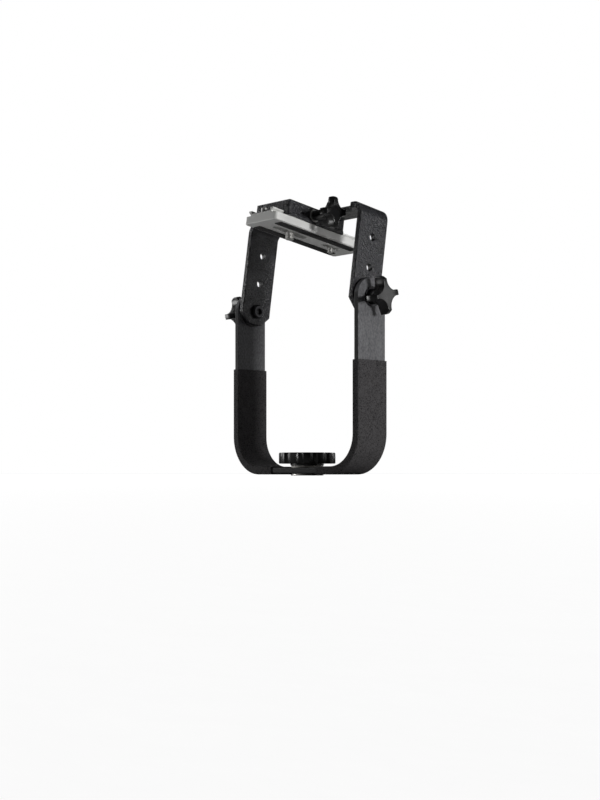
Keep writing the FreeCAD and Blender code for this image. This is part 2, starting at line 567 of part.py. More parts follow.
def make_clamp_body():
    """Clamp block: a dovetail groove below, a channel for the crosspiece above."""
    body = new_body("clamp_body")
    lip = f"({CLAMP_BOTTOM} + clamp_lip_height)"
    mouth = f"({NECK_HALF_WIDTH} + slide_clearance)"
    wide = "(rail_half_width + slide_clearance)"
    slope_low = f"({RAIL_NECK} - screw_clearance)"
    slope_high = f"({slope_low} + rail_undercut)"
    right_side = [
        (mouth, CLAMP_BOTTOM), (CLAMP_HALF_WIDTH, CLAMP_BOTTOM), (CLAMP_HALF_WIDTH, lip),
        (CLAMP_SIDE, f"({lip} + clamp_step)"), (CLAMP_SIDE, CLAMP_TOP)]
    left_side = [(f"-{x}", y) for x, y in reversed(right_side)]
    groove = [(f"-{mouth}", slope_low), (f"-{wide}", slope_high), (f"-{wide}", CLAMP_BED),
              (wide, CLAMP_BED), (wide, slope_high), (mouth, slope_low)]
    sketch = new_sketch(body, "XZ_Plane", "-clamp_front")
    add_outline(sketch, right_side + left_side + groove)
    pad(body, sketch, "clamp_length")
    side_zone = value("rail_half_width + clamp_cheek / 2")
    soften(body, "Chamfer", "clamp_edge", lambda edge: edge.BoundBox.YLength < NEAR
           and edge.BoundBox.ZLength > NEAR and abs(edge.BoundBox.Center.x) > side_zone)
    channel = new_sketch(body, "YZ_Plane")
    half_channel = f"({TONGUE_HALF_WIDTH} + running_clearance)"
    add_rectangle(channel, f"-{half_channel}", TONGUE_BOTTOM, half_channel, f"{CLAMP_TOP} + cut_past")
    pocket(body, channel, both_ways=True)
    seat = new_sketch(body, "XY_Plane", CLAMP_BOTTOM)
    half_seat = "(pad_half_length + slide_clearance)"
    add_rectangle(seat, f"{PAD_INNER} - slide_clearance", f"0 - {half_seat} - screw_back",
                  POCKET_OUTER, f"{half_seat} - screw_back")
    pocket(body, seat, f"{PAD_TOP} + slide_clearance - {CLAMP_BOTTOM}", flip=True)
    bush = new_sketch(body, "YZ_Plane", CLAMP_SIDE)
    add_circle(bush, "-screw_back", SCREW_HEIGHT, "clamp_bush_radius")
    pocket(body, bush, "clamp_wall")
    spot_face = new_sketch(body, "YZ_Plane", CLAMP_SIDE)
    add_circle(spot_face, "-screw_back", SCREW_HEIGHT, "clamp_flange_radius + slide_clearance")
    pocket(body, spot_face, "clamp_step + cut_past", flip=True)
    holes = new_sketch(body, "XY_Plane", TONGUE_BOTTOM)
    for sign in (1, -1):
        add_circle(holes, f"{sign} * mount_screw_spacing / 2", "0", "mount_shank_radius + screw_clearance")
    pocket(body, holes, "clamp_roof - mount_screw_floor")
    body.Placement = cradle_frame()


def make_clamp_pad():
    """Sliding pad whose lower jaw bears on the rail's slope."""
    body = new_body("clamp_pad")
    inner, wide = f"({NECK_HALF_WIDTH} + pad_clearance)", "(rail_half_width + pad_clearance)"
    low, ledge = f"({CLAMP_BOTTOM} + slide_clearance)", f"({CLAMP_BED} + screw_clearance)"
    sketch = new_sketch(body, "XZ_Plane", "screw_back - pad_half_length")
    add_outline(sketch, [
        (inner, low), (PAD_OUTER, low), (PAD_OUTER, PAD_TOP), (PAD_INNER, PAD_TOP), (PAD_INNER, ledge),
        (wide, ledge), (wide, RAIL_SHOULDER), (inner, RAIL_NECK)])
    pad(body, sketch, "2 * pad_half_length")
    socket = new_sketch(body, "YZ_Plane", PAD_OUTER)
    add_circle(socket, "-screw_back", SCREW_HEIGHT, "clamp_screw_radius + running_clearance")
    pocket(body, socket, f"{PAD_OUTER} - {PAD_INNER} - pad_web")
    body.Placement = cradle_frame()


def make_clamp_screw_parts():
    """Threaded bush in the clamp's side, the screw through it and the knob on the screw."""
    bush = new_body("clamp_thread_bush")
    hole = "(clamp_screw_radius + running_clearance)"
    revolve(bush, [
        (hole, "-clamp_wall"), ("clamp_bush_radius", "-clamp_wall"), ("clamp_bush_radius", "0"),
        ("clamp_flange_radius", "0"), ("clamp_flange_radius", "clamp_flange_thickness - screw_end"),
        ("clamp_flange_radius - screw_end", "clamp_flange_thickness"), (hole, "clamp_flange_thickness")])
    bush.Placement = cradle_frame() * sideways(CLAMP_SIDE, "-screw_back", SCREW_HEIGHT)
    screw = new_body("clamp_screw")
    low = f"({PAD_INNER} + pad_web + screw_float - {CLAMP_KNOB_SEAT})"
    revolve(screw, [("0", low), ("clamp_screw_radius - screw_end", low),
                    ("clamp_screw_radius", f"({low} + screw_end)"),
                    ("clamp_screw_radius", "clamp_screw_grip"), ("0", "clamp_screw_grip")])
    screw.Placement = cradle_frame() * sideways(CLAMP_KNOB_SEAT, "-screw_back", SCREW_HEIGHT)
    turned = cradle_frame() * sideways(CLAMP_KNOB_SEAT, "-screw_back", SCREW_HEIGHT,
                                       turn=value("clamp_knob_turn + 180 / knob_lobes"))
    make_knob("clamp_knob", "clamp_knob", "clamp_screw_radius", "clamp_screw_grip", turned)


def make_screw(name, kind, head_height, shank_length):
    """Cap-headed screw about its own Z axis, the head's underside at the origin."""
    body = doc.addObject("PartDesign::Body", name)
    body.Label = name
    head_radius, shank_radius = (f"{kind}_{word}" for word in ("head_radius", "shank_radius"))
    revolve(body, [
        ("0", head_height), (head_radius, head_height), (head_radius, "0"), (shank_radius, "0"),
        (shank_radius, f"0 - {shank_length}"), ("0", f"0 - {shank_length}")])
    return body


def make_group(name, members):
    """Node that holds several equal pieces as separate solids."""
    group = doc.addObject("Part::Compound", name)
    group.Label = name
    group.Links = members
    doc.recompute()
    parts[name] = group


def make_clamp_mounting_screws():
    """Two screws down through the crosspiece into the clamp."""
    screws = []
    for side, sign in SIDES.items():
        screw = make_screw(f"clamp_mounting_screw_{side}", "mount", "mount_head_height",
                           "(clamp_roof - mount_screw_floor - screw_clearance + bar_thickness"
                           " - mount_head_height)")
        place = FreeCAD.Vector(sign * value("mount_screw_spacing / 2"), 0,
                               value("cradle_top - mount_head_height"))
        screw.Placement = cradle_frame() * FreeCAD.Placement(place, FreeCAD.Rotation())
        screws.append(screw)
    make_group("clamp_mounting_screws", screws)


# ---------------------------------------------------------------- sliding plate

def make_quick_plate():
    """Long plate with a channelled dovetail rail, slots for its screws and recesses for its pads."""
    body = new_body("quick_plate")
    right_side = [
        (PLATE_HALF_WIDTH, PLATE_BOTTOM), (PLATE_HALF_WIDTH, PLATE_TOP),
        (NECK_HALF_WIDTH, PLATE_TOP), (NECK_HALF_WIDTH, RAIL_NECK), ("rail_half_width", RAIL_SHOULDER),
        ("rail_half_width", RAIL_TOP), (CHANNEL_HALF_WIDTH, RAIL_TOP), (CHANNEL_HALF_WIDTH, CHANNEL_FLOOR)]
    left_side = [(f"-{x}", y) for x, y in reversed(right_side)]
    sketch = new_sketch(body, "XZ_Plane", "-plate_front")
    add_outline(sketch, right_side + left_side)
    pad(body, sketch, "plate_length")
    half_width = value(PLATE_HALF_WIDTH)
    soften(body, "Fillet", "plate_corner",
           lambda edge: runs_along(edge, "z") and abs(abs(edge.BoundBox.Center.x) - half_width) < NEAR)
    soften(body, "Chamfer", "plate_edge", lambda edge: lies_at(edge, "z", value(PLATE_BOTTOM)))
    recess = new_sketch(body, "XY_Plane", RAIL_TOP)
    add_long_slot(recess, "0", RECESS_BACK, RECESS_FRONT, RECESS_HALF_WIDTH)
    pocket(body, recess, "recess_depth")
    slots = new_sketch(body, "XY_Plane", RECESS_FLOOR)
    for kind, place in SCREW_PLACE.items():
        add_long_slot(slots, "0", f"{place} - {kind}_slot / 2", f"{place} + {kind}_slot / 2",
                      f"({kind}_radius + slot_gap)")
    pocket(body, slots, f"{RECESS_FLOOR} - {PLATE_BOTTOM} + cut_past")
    strips = new_sketch(body, "XY_Plane", PLATE_BOTTOM)
    middle, half_length = "(plate_front - plate_length / 2)", "(plate_length / 2 - pad_strip_end)"
    for sign in (1, -1):
        inside = f"({sign} * pad_strip_centre - pad_strip_width / 2)"
        outside = f"({sign} * pad_strip_centre + pad_strip_width / 2)"
        add_rectangle(strips, inside, f"{middle} - {half_length}", outside, f"{middle} + {half_length}")
    pocket(body, strips, "pad_strip_recess", flip=True)
    stops = new_sketch(body, "XY_Plane", CHANNEL_FLOOR)
    for place in STOP_PLACES:
        add_circle(stops, "0", place, "stop_shank_radius")
    pocket(body, stops, "stop_shank_length")
    body.Placement = cradle_frame()


def make_plate_pads():
    """Two grip strips let into the plate's lens side."""
    strips = []
    for side, sign in SIDES.items():
        strip = doc.addObject("PartDesign::Body", f"plate_pad_{side}")
        sketch = new_sketch(strip, "XY_Plane", f"{PLATE_BOTTOM} + pad_strip_recess")
        middle = "(plate_front - plate_length / 2)"
        half_length = "(plate_length / 2 - pad_strip_end - screw_clearance)"
        half_width = "(pad_strip_width / 2 - screw_clearance)"
        add_rectangle(sketch, f"{sign} * pad_strip_centre - {half_width}", f"{middle} - {half_length}",
                      f"{sign} * pad_strip_centre + {half_width}", f"{middle} + {half_length}")
        pad(strip, sketch, "pad_strip_thickness", flip=True)
        strip.Placement = cradle_frame()
        strips.append(strip)
    make_group("plate_pads", strips)


def make_lens_screw(kind):
    """Captive screw: a coin-slot head in the recess, a thin neck and the thread below the plate."""
    body = new_body(f"plate_screw_{kind}")
    radius, reach = f"{kind}_radius", f"{kind}_reach"
    head_low = f"({RECESS_FLOOR} + clip_thickness)"
    head_high = f"({head_low} + screw_head_height)"
    neck, tip = f"({radius} - neck_relief)", f"({STRIP_FACE} - {reach})"
    revolve(body, [
        ("0", tip), (f"{radius} - screw_end", tip), (radius, f"{tip} + screw_end"), (radius, STRIP_FACE),
        (neck, STRIP_FACE), (neck, head_low), ("screw_head_radius", head_low),
        ("screw_head_radius", head_high), ("0", head_high)])
    slot = new_sketch(body, "XY_Plane", head_high)
    add_rectangle(slot, "-screw_head_radius - cut_past", "-coin_slot_width / 2",
                  "screw_head_radius + cut_past", "coin_slot_width / 2")
    pocket(body, slot, "coin_slot_depth")
    place = FreeCAD.Vector(0, value(SCREW_PLACE[kind]), 0)
    body.Placement = cradle_frame() * FreeCAD.Placement(place, FreeCAD.Rotation())
    clip = ring(f"{kind}_screw_clip", f"{neck} + running_clearance", "clip_radius", RECESS_FLOOR,
                f"{RECESS_FLOOR} + clip_thickness")
    clip.Placement = body.Placement


def make_plate_stop_screws():
    """Two tall-headed screws in the rail's channel that stop the plate at the clamp."""
    screws = []
    for number, place in enumerate(STOP_PLACES, start=1):
        screw = make_screw(f"plate_stop_screw_{number}", "stop",
                           "(rail_channel_depth + stop_proud_height)",
                           "(stop_shank_length - screw_clearance)")
        seat = FreeCAD.Vector(0, value(place), value(CHANNEL_FLOOR))
        screw.Placement = cradle_frame() * FreeCAD.Placement(seat, FreeCAD.Rotation())
        screws.append(screw)
    make_group("plate_stop_screws", screws)


# ---------------------------------------------------------------- whole head

def make_head():
    """Make every sub-part, from the tripod up."""
    make_base_bush()
    make_pan_rings()
    make_pan_lock_wheel()
    make_yoke_bar()
    for side in SIDES:
        make_yoke_sleeve(side)
        make_pivot_rings(side)
        make_tilt_stud(side)
        make_tilt_knob(side)
    make_cradle_bar()
    make_clamp_body()
    make_clamp_pad()
    make_clamp_screw_parts()
    make_clamp_mounting_screws()
    make_quick_plate()
    make_plate_pads()
    for kind in SCREW_PLACE:
        make_lens_screw(kind)
    make_plate_stop_screws()


def check_document():
    """Stop if any object failed or any sub-part is not a valid solid."""
    doc.recompute()
    for item in doc.Objects:
        if {"Invalid", "Error"} & set(item.State):
            raise RuntimeError(f"{item.Name} failed: {item.State}")
    for name, item in parts.items():
        if item.Shape.isNull() or not item.Shape.isValid() or not item.Shape.Solids:
            raise RuntimeError(f"{name} is not a valid solid")


def write_parts():
    """Write one STEP file for each node."""
    os.makedirs("parts", exist_ok=True)
    for name, item in parts.items():
        item.Shape.exportStep(f"parts/{name}.step")
        print(f"{name}: {len(item.Shape.Solids)} solid(s), {item.Shape.Volume:.0f} mm3")


fill_sheet()
make_head()
check_document()
write_parts()
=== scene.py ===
"""Looks of a gimbal tripod head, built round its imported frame.

Each sub-assembly is a class that makes its own pieces and gives them their finish.  The scene is in metres
and in the frame's own axes: Z is the pan axis, X the tilt axis and +Y the front of the lens.  The pieces' own
sizes are in millimetres, and a piece is turned to metres when it is put in its place.
"""

import json
import logging
import math
from collections.abc import Iterable, Sequence
from dataclasses import dataclass, field
from enum import Enum

import bmesh
import bpy
from mathutils import Matrix, Vector


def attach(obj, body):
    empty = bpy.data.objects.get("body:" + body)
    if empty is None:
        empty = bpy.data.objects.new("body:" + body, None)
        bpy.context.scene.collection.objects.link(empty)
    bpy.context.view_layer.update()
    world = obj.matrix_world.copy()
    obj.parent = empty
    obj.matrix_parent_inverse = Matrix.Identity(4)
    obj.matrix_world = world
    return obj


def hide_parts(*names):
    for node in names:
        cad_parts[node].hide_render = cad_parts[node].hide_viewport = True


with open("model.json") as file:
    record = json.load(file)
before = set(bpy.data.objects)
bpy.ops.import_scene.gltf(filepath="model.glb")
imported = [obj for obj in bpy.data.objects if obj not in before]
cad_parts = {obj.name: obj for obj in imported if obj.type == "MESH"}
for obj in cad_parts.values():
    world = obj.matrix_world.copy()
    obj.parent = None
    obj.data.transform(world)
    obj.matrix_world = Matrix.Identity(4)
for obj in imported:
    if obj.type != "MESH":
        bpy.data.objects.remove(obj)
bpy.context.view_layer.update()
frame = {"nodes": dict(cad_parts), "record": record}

LOG = logging.getLogger("gimbal_head")
MM = 0.001
TURN = 2 * math.pi
TO_METRES = Matrix.Scale(MM, 4)
SMOOTH_LIMIT = math.radians(32)      # edges sharper than this stay sharp
FLAT_LIMIT = math.radians(0.3)       # faces that bend less than this are one flat face
SAME_PLACE = 2e-6                    # points nearer than this, in metres, are one point
Colour = tuple[float, float, float]
Point = tuple[float, float, float]


class Side(Enum):
    """The two sides of the head, and which way along X each one faces."""

    RIGHT = 1
    LEFT = -1

    @property
    def word(self) -> str:
        """The side's name in lower case."""
        return self.name.lower()


# ---------------------------------------------------------------------------- objects and node trees

def put_in_scene(name: str, data: bpy.types.ID) -> bpy.types.Object:
    """Make an object and put it in the scene.

    Args:
        name: the object's name.
        data: its mesh, light or camera.

    Returns:
        The object.
    """
    made = bpy.data.objects.new(name, data)
    bpy.context.scene.collection.objects.link(made)
    return made


def take_mesh(carrier: bpy.types.Object, *others: bpy.types.Object) -> bpy.types.Mesh:
    """Take an object's mesh with its modifiers applied, and remove the object.

    Args:
        carrier: the object that has the modifiers.
        others: objects that the modifiers use, which are removed too.

    Returns:
        The plain mesh.
    """
    graph = bpy.context.evaluated_depsgraph_get()
    made = bpy.data.meshes.new_from_object(carrier.evaluated_get(graph), depsgraph=graph)
    for used in (carrier, *others):
        bpy.data.objects.remove(used)
    return made


class Graph:
    """Short calls that add nodes to a tree and join their sockets."""

    def __init__(self, tree: bpy.types.NodeTree) -> None:
        """Work on an empty or existing tree."""
        self.tree = tree

    def add(self, kind: str, *given: object, **settings: object) -> bpy.types.Node:
        """Add one node.

        Args:
            kind: Blender's name of the node type.
            given: what feeds its inputs in order; None leaves one as it is.
            settings: the node's own properties.

        Returns:
            The new node.
        """
        node = self.tree.nodes.new(kind)
        for name, setting in settings.items():
            setattr(node, name, setting)
        for index, source in enumerate(given):
            self.feed(node.inputs[index], source)
        return node

    def feed(self, socket: bpy.types.NodeSocket, source: object) -> None:
        """Join a node or socket to an input, or set the input's value.

        Args:
            socket: the input.
            source: a node, an output socket, a plain value, or None.
        """
        if source is None:
            return
        if isinstance(source, bpy.types.Node):
            source = next(output for output in source.outputs if output.enabled)
        if isinstance(source, bpy.types.NodeSocket):
            self.tree.links.new(source, socket)
        else:
            socket.default_value = source

    def math(self, operation: str, *given: object) -> bpy.types.Node:
        """Add a Math node of one operation."""
        return self.add("ShaderNodeMath", *given, operation=operation)

    def noise(self, place: object, size: float, detail: float, roughness: float) -> bpy.types.NodeSocket:
        """Add a noise texture.

        Args:
            place: the node or socket of its coordinates.
            size: of its features, in metres.
            detail, roughness: the texture's own values.

        Returns:
            The socket of its value, from 0 to 1.
        """
        return self.add("ShaderNodeTexNoise", place, None, 1 / size, detail, roughness).outputs["Fac"]


# ---------------------------------------------------------------------------- finishes

@dataclass(frozen=True)
class Finish:
    """A surface finish with a fine grain, a wider mottle and a roughness that follows the mottle.

    Attributes:
        name: the material's name.
        slot: the record's material slot that it stands for.
        dark, light: the ends of the base colour's variation.
        roughness: the middle of the roughness, which the mottle moves by roughness_swing.
        metallic, specular: the shader's own values.
        grain: size of the grain, in metres; grain_depth is how deep it is.
        mottle: size of the wider variation, in metres; mottle_share is how far it moves the colour.
        contrast: how much of the colour's variation follows the grain; above 1 both ends are reached.
        stretch: scales of the pattern along the three axes.
        ramp_ends: where on the colour ramp the dark and the light end stand.
    """

    name: str
    slot: str
    dark: Colour
    light: Colour
    roughness: float
    roughness_swing: float = 0.06
    metallic: float = 0.0
    specular: float = 0.5
    grain: float = 0.6 * MM
    grain_depth: float = 0.03 * MM
    mottle: float = 14 * MM
    mottle_share: float = 0.4
    contrast: float = 0.5
    stretch: tuple[float, float, float] = (1.0, 1.0, 1.0)
    ramp_ends: tuple[float, float] = (0.25, 0.75)

    def grain_field(self, graph: Graph, place: bpy.types.NodeSocket) -> bpy.types.NodeSocket:
        """Fine relief of the surface, from 0 to 1."""
        return graph.noise(place, self.grain, detail=3.0, roughness=0.6)

    def toned(self, graph: Graph, colour: bpy.types.NodeSocket) -> bpy.types.NodeSocket | bpy.types.Node:
        """Base colour as it reaches the shader, which a finish may shade further."""
        return colour

    def make(self) -> bpy.types.Material:
        """Build the material.

        Returns:
            The finished material.
        """
        material = bpy.data.materials.new(self.name)
        material.use_nodes = True
        material.diffuse_color = (*self.light, 1.0)
        material.node_tree.nodes.clear()
        graph = Graph(material.node_tree)
        output = graph.add("ShaderNodeOutputMaterial")
        shader = graph.add("ShaderNodeBsdfPrincipled")
        graph.feed(output.inputs["Surface"], shader)
        place = graph.add("ShaderNodeMapping", graph.add("ShaderNodeTexCoord").outputs["Object"])
        place.inputs["Scale"].default_value = self.stretch
        grain = self.grain_field(graph, place.outputs[0])
        mottle = graph.noise(place, self.mottle, detail=4.0, roughness=0.55)
        fine = graph.math("MULTIPLY_ADD", grain, self.contrast, (1 - self.contrast) / 2)
        wide = graph.math("MULTIPLY_ADD", mottle, self.mottle_share, -self.mottle_share / 2)
        ramp = graph.add("ShaderNodeValToRGB", graph.math("ADD", fine, wide))
        low, high = ramp.color_ramp.elements
        low.position, high.position = self.ramp_ends
        low.color, high.color = (*self.dark, 1.0), (*self.light, 1.0)
        graph.feed(shader.inputs["Base Color"], self.toned(graph, ramp.outputs["Color"]))
        swing = graph.math("MULTIPLY_ADD", mottle, 2 * self.roughness_swing,
                           self.roughness - self.roughness_swing)
        graph.feed(shader.inputs["Roughness"], swing)
        shader.inputs["Metallic"].default_value = self.metallic
        shader.inputs["Specular IOR Level"].default_value = self.specular
        bump = graph.add("ShaderNodeBump")
        bump.inputs["Strength"].default_value = 1.0
        bump.inputs["Distance"].default_value = self.grain_depth
        graph.feed(bump.inputs["Height"], grain)
        graph.feed(shader.inputs["Normal"], bump)
        return material


@dataclass(frozen=True)
class PebbledCoat(Finish):
    """Textured coat: rounded pebbles with shallow gaps between them, on a coarser swell.

    Attributes:
        coarse: size of the swell, as a share of the grain.
        smoothness: how softly the pebbles meet.
        dome, swell: heights of the pebbles and of the swell; swell_drop lowers both.
    """

    coarse: float = 2.4
    smoothness: float = 0.6
    dome: float = 0.75
    swell: float = 1.5
    swell_drop: float = 0.5

    def grain_field(self, graph: Graph, place: bpy.types.NodeSocket) -> bpy.types.NodeSocket:
        """Pebbles over a coarser swell.

        Args:
            graph: the material's tree.
            place: the coordinates that it reads.

        Returns:
            The socket that carries the relief.
        """
        pebbles = graph.add("ShaderNodeTexVoronoi", place, feature="SMOOTH_F1")
        pebbles.inputs["Scale"].default_value = 1 / self.grain
        pebbles.inputs["Smoothness"].default_value = self.smoothness
        domes = graph.math("SUBTRACT", 1.0, pebbles.outputs["Distance"])
        swell = graph.noise(place, self.coarse * self.grain, detail=3.0, roughness=0.65)
        ground = graph.math("MULTIPLY_ADD", swell, self.swell, -self.swell_drop)
        return graph.math("MULTIPLY_ADD", domes, self.dome, ground).outputs[0]


@dataclass(frozen=True)
class TurnedMetal(Finish):
    """Turned metal: fine concentric tool marks about the vertical axis.

    Attributes:
        ring_pitch: from one tool mark to the next, in metres.
        ring_share: how much of the relief is tool marks.
    """

    ring_pitch: float = 0.35 * MM
    ring_share: float = 0.5

    def grain_field(self, graph: Graph, place: bpy.types.NodeSocket) -> bpy.types.NodeSocket:
        """Rings by distance from the axis, and a little noise.

        Args:
            graph: the material's tree.
            place: the coordinates that it reads.

        Returns:
            The socket that carries the relief.
        """
        parts = graph.add("ShaderNodeSeparateXYZ", place)
        squares = [graph.math("POWER", parts.outputs[axis], 2.0) for axis in ("X", "Y")]
        reach = graph.math("SQRT", graph.math("ADD", *squares))
        wave = graph.math("SINE", graph.math("MULTIPLY", reach, TURN / self.ring_pitch))
        noise = graph.noise(place, self.grain, detail=2.0, roughness=0.5)
        rings = graph.math("MULTIPLY_ADD", wave, self.ring_share / 2, self.ring_share / 2)
        return graph.math("MULTIPLY_ADD", noise, 1 - self.ring_share, rings).outputs[0]


@dataclass(frozen=True)
class RolledBar(Finish):
    """Flat bar with painted shade on its narrow edges, at its two ends along Y, so that they are darker than
    its broad faces.

    Attributes:
        half_width: half of the bar's width; edge_round is how far in the painted edge shade fades out.
        edge_shade: how much of the painted shade colour the edges take.
    """

    half_width: float = 21 * MM
    edge_round: float = 0.4 * MM
    edge_shade: float = 0.97
    edge_colour: tuple[float, float, float, float] = (0.004, 0.004, 0.004, 1.0)

    def toned(self, graph: Graph, colour: bpy.types.NodeSocket) -> bpy.types.Node:
        """Base colour, with painted shade darkening the edges.

        Args:
            graph: the material's tree.
            colour: the colour of the broad faces.

        Returns:
            The node that carries the shaded colour.
        """
        place = graph.add("ShaderNodeSeparateXYZ", graph.add("ShaderNodeTexCoord").outputs["Object"])
        reach = graph.math("ABSOLUTE", place.outputs["Y"])
        # painted shade: the base colour darkens on the bar's narrow edges
        shade = graph.add("ShaderNodeMapRange", reach, self.half_width - self.edge_round, self.half_width,
                          0.0, self.edge_shade)
        unused = (None,) * 5                 # the Mix node's inputs of its other kinds
        return graph.add("ShaderNodeMix", shade, *unused, colour, self.edge_colour, data_type="RGBA")


FINISHES = (
    # the bar's finish carries painted shade on its narrow edges
    RolledBar("bar_anodise", "frame_finish", (0.062, 0.062, 0.065), (0.172, 0.172, 0.180), 0.58,
              specular=0.25, grain=1.8 * MM, grain_depth=0.05 * MM, mottle=26 * MM, contrast=1.0,
              stretch=(1.0, 1.0, 0.6)),
    PebbledCoat("powder_coat", "cradle_finish", (0.001, 0.001, 0.0012), (0.030, 0.030, 0.034), 0.32,
                specular=0.55, grain=1.6 * MM, grain_depth=0.55 * MM, contrast=1.5, coarse=1.9),
    PebbledCoat("sleeve_skin", "sleeve_rubber", (0.016, 0.0155, 0.016), (0.071, 0.068, 0.070), 0.80,
                grain=0.9 * MM, grain_depth=0.16 * MM, contrast=1.1, specular=0.10, coarse=1.7),
    Finish("moulded_plastic", "knob_plastic", (0.001, 0.001, 0.001), (0.006, 0.006, 0.0065), 0.30,
           roughness_swing=0.08, grain=1.1 * MM, grain_depth=0.05 * MM, mottle=5 * MM, contrast=1.0,
           specular=0.6),
    Finish("plated_steel", "bare_steel", (0.50, 0.50, 0.49), (0.62, 0.61, 0.59), 0.5, metallic=1.0,
           grain=0.3 * MM, grain_depth=0.006 * MM),
    Finish("black_oxide", "black_steel", (0.030, 0.030, 0.032), (0.055, 0.055, 0.058), 0.38, metallic=0.9,
           grain=0.4 * MM, grain_depth=0.008 * MM),
    TurnedMetal("turned_brass", "brass_insert", (0.50, 0.36, 0.15), (0.70, 0.52, 0.26), 0.34, metallic=1.0,
                grain_depth=0.008 * MM),
    Finish("nylon_washer", "washer_nylon", (0.62, 0.60, 0.55), (0.74, 0.72, 0.67), 0.5,
           grain_depth=0.01 * MM),
    Finish("black_nylon", "washer_black", (0.014, 0.014, 0.014), (0.026, 0.026, 0.026), 0.55,
           grain_depth=0.01 * MM),
    TurnedMetal("turned_aluminium", "bush_metal", (0.50, 0.49, 0.47), (0.68, 0.67, 0.65), 0.36, metallic=1.0,
                grain_depth=0.010 * MM),
    Finish("plate_anodise", "plate_metal", (0.72, 0.72, 0.70), (0.84, 0.84, 0.82), 0.52, metallic=0.2,
           grain=0.25 * MM, grain_depth=0.008 * MM, mottle=24 * MM, contrast=0.3),
    Finish("grip_rubber", "pad_rubber", (0.018, 0.018, 0.018), (0.035, 0.035, 0.034), 0.8,
           grain=0.5 * MM, grain_depth=0.05 * MM, specular=0.3))
FLOOR_PAINT = Finish("floor_paint", "", (0.40, 0.40, 0.40), (0.44, 0.44, 0.44), 0.9, specular=0.1,
                     grain=2 * MM, grain_depth=0.02 * MM, mottle=0.4)
MATERIALS = {finish.slot: finish.make() for finish in FINISHES}
NODE_SLOTS = {part["node"]: part["material_slot"] for part in frame["record"]["subparts"]}
BODIES = {node: body for body, nodes in frame["record"]["behaviour"]["bodies"].items() for node in nodes}


def dress(thing: bpy.types.Object, node: str) -> None:
    """Give an object the finish of a node's slot.

    Args:
        thing: the CAD node, or the piece that stands for it.
        node: the CAD node's name.
    """
    slot = NODE_SLOTS[node]
    thing.data.materials.clear()
    thing.data.materials.append(MATERIALS[slot])


def dress_nodes() -> None:
    """Give every CAD node the finish of the record's own slot."""
    for node in NODE_SLOTS:
        dress(frame["nodes"][node], node)
    LOG.info("dressed %d CAD nodes", len(NODE_SLOTS))


# ---------------------------------------------------------------------------- outlines and levels

@dataclass(frozen=True)
class Level:
    """One contour of a stacked shape, in millimetres.

    Attributes:
        radius: the farthest that the contour reaches from the axis.
        height: along the axis.
        inset: how far the contour draws in from the outline.
        lobed: whether it follows the outline or is a plain circle of the radius.
    """

    radius: float
    height: float
    inset: float = 0.0
    lobed: bool = False


def round_corner(start: Vector, corner: Vector, end: Vector, shares: Iterable[float]) -> list[Vector]:
    """Points along the rounding of a corner.

    Args:
        start, end: where the rounding meets the corner's two sides.
        corner: the sharp corner.
        shares: how far along the rounding each point is, from 0 to 1.

    Returns:
        The points.
    """
    return [(1 - share) ** 2 * start + 2 * share * (1 - share) * corner + share ** 2 * end
            for share in shares]


def softened(corners: Iterable[tuple[float, float, float]], steps: int = 3) -> list[Level]:
    """Turn a profile with sharp corners into levels with rounded ones.

    Args:
        corners: (radius, height, rounding) of each corner, in order.
        steps: levels that each rounding gets, less one.

    Returns:
        The levels of plain circles.
    """
    places = [(Vector((radius, height)), rounding) for radius, height, rounding in corners]
    levels = []
    for index, (corner, rounding) in enumerate(places):
        if rounding == 0:
            levels.append(Level(*corner))
            continue
        before, after = places[index - 1][0], places[(index + 1) % len(places)][0]
        start = corner + (before - corner).normalized() * rounding
        end = corner + (after - corner).normalized() * rounding
        shares = (step / steps for step in range(steps + 1))
        levels += [Level(*spot) for spot in round_corner(start, corner, end, shares)]
    return levels


def arc(radius: float, start: float, end: float, steps: int, centre: Vector | None = None) -> list[Vector]:
    """Points along an arc.

    Args:
        radius: of the arc.
        start, end: its angles, in radians.
        steps: points after the first.
        centre: its centre, or None for the axis.

    Returns:
        The points, both ends among them.
    """
    middle = centre or Vector((0.0, 0.0))
    angles = (start + (end - start) * step / steps for step in range(steps + 1))
    return [middle + radius * Vector((math.cos(angle), math.sin(angle))) for angle in angles]


@dataclass(frozen=True)
class Outline:
    """Outline of a round piece that is the same all round, one sector at a time.

    Attributes:
        sectors: how many times the sector goes round.
        tip: the farthest that the outline reaches from the axis, in millimetres.
    """

    sectors: int
    tip: float

    def rays(self) -> list[Vector]:
        """Points of one sector's outline, which lies about the X axis.

        Returns:
            The points, from the sector's one side to its other.
        """
        points_round = 96
        half = math.pi / self.sectors
        return arc(self.tip, -half, half, max(2, points_round // self.sectors))


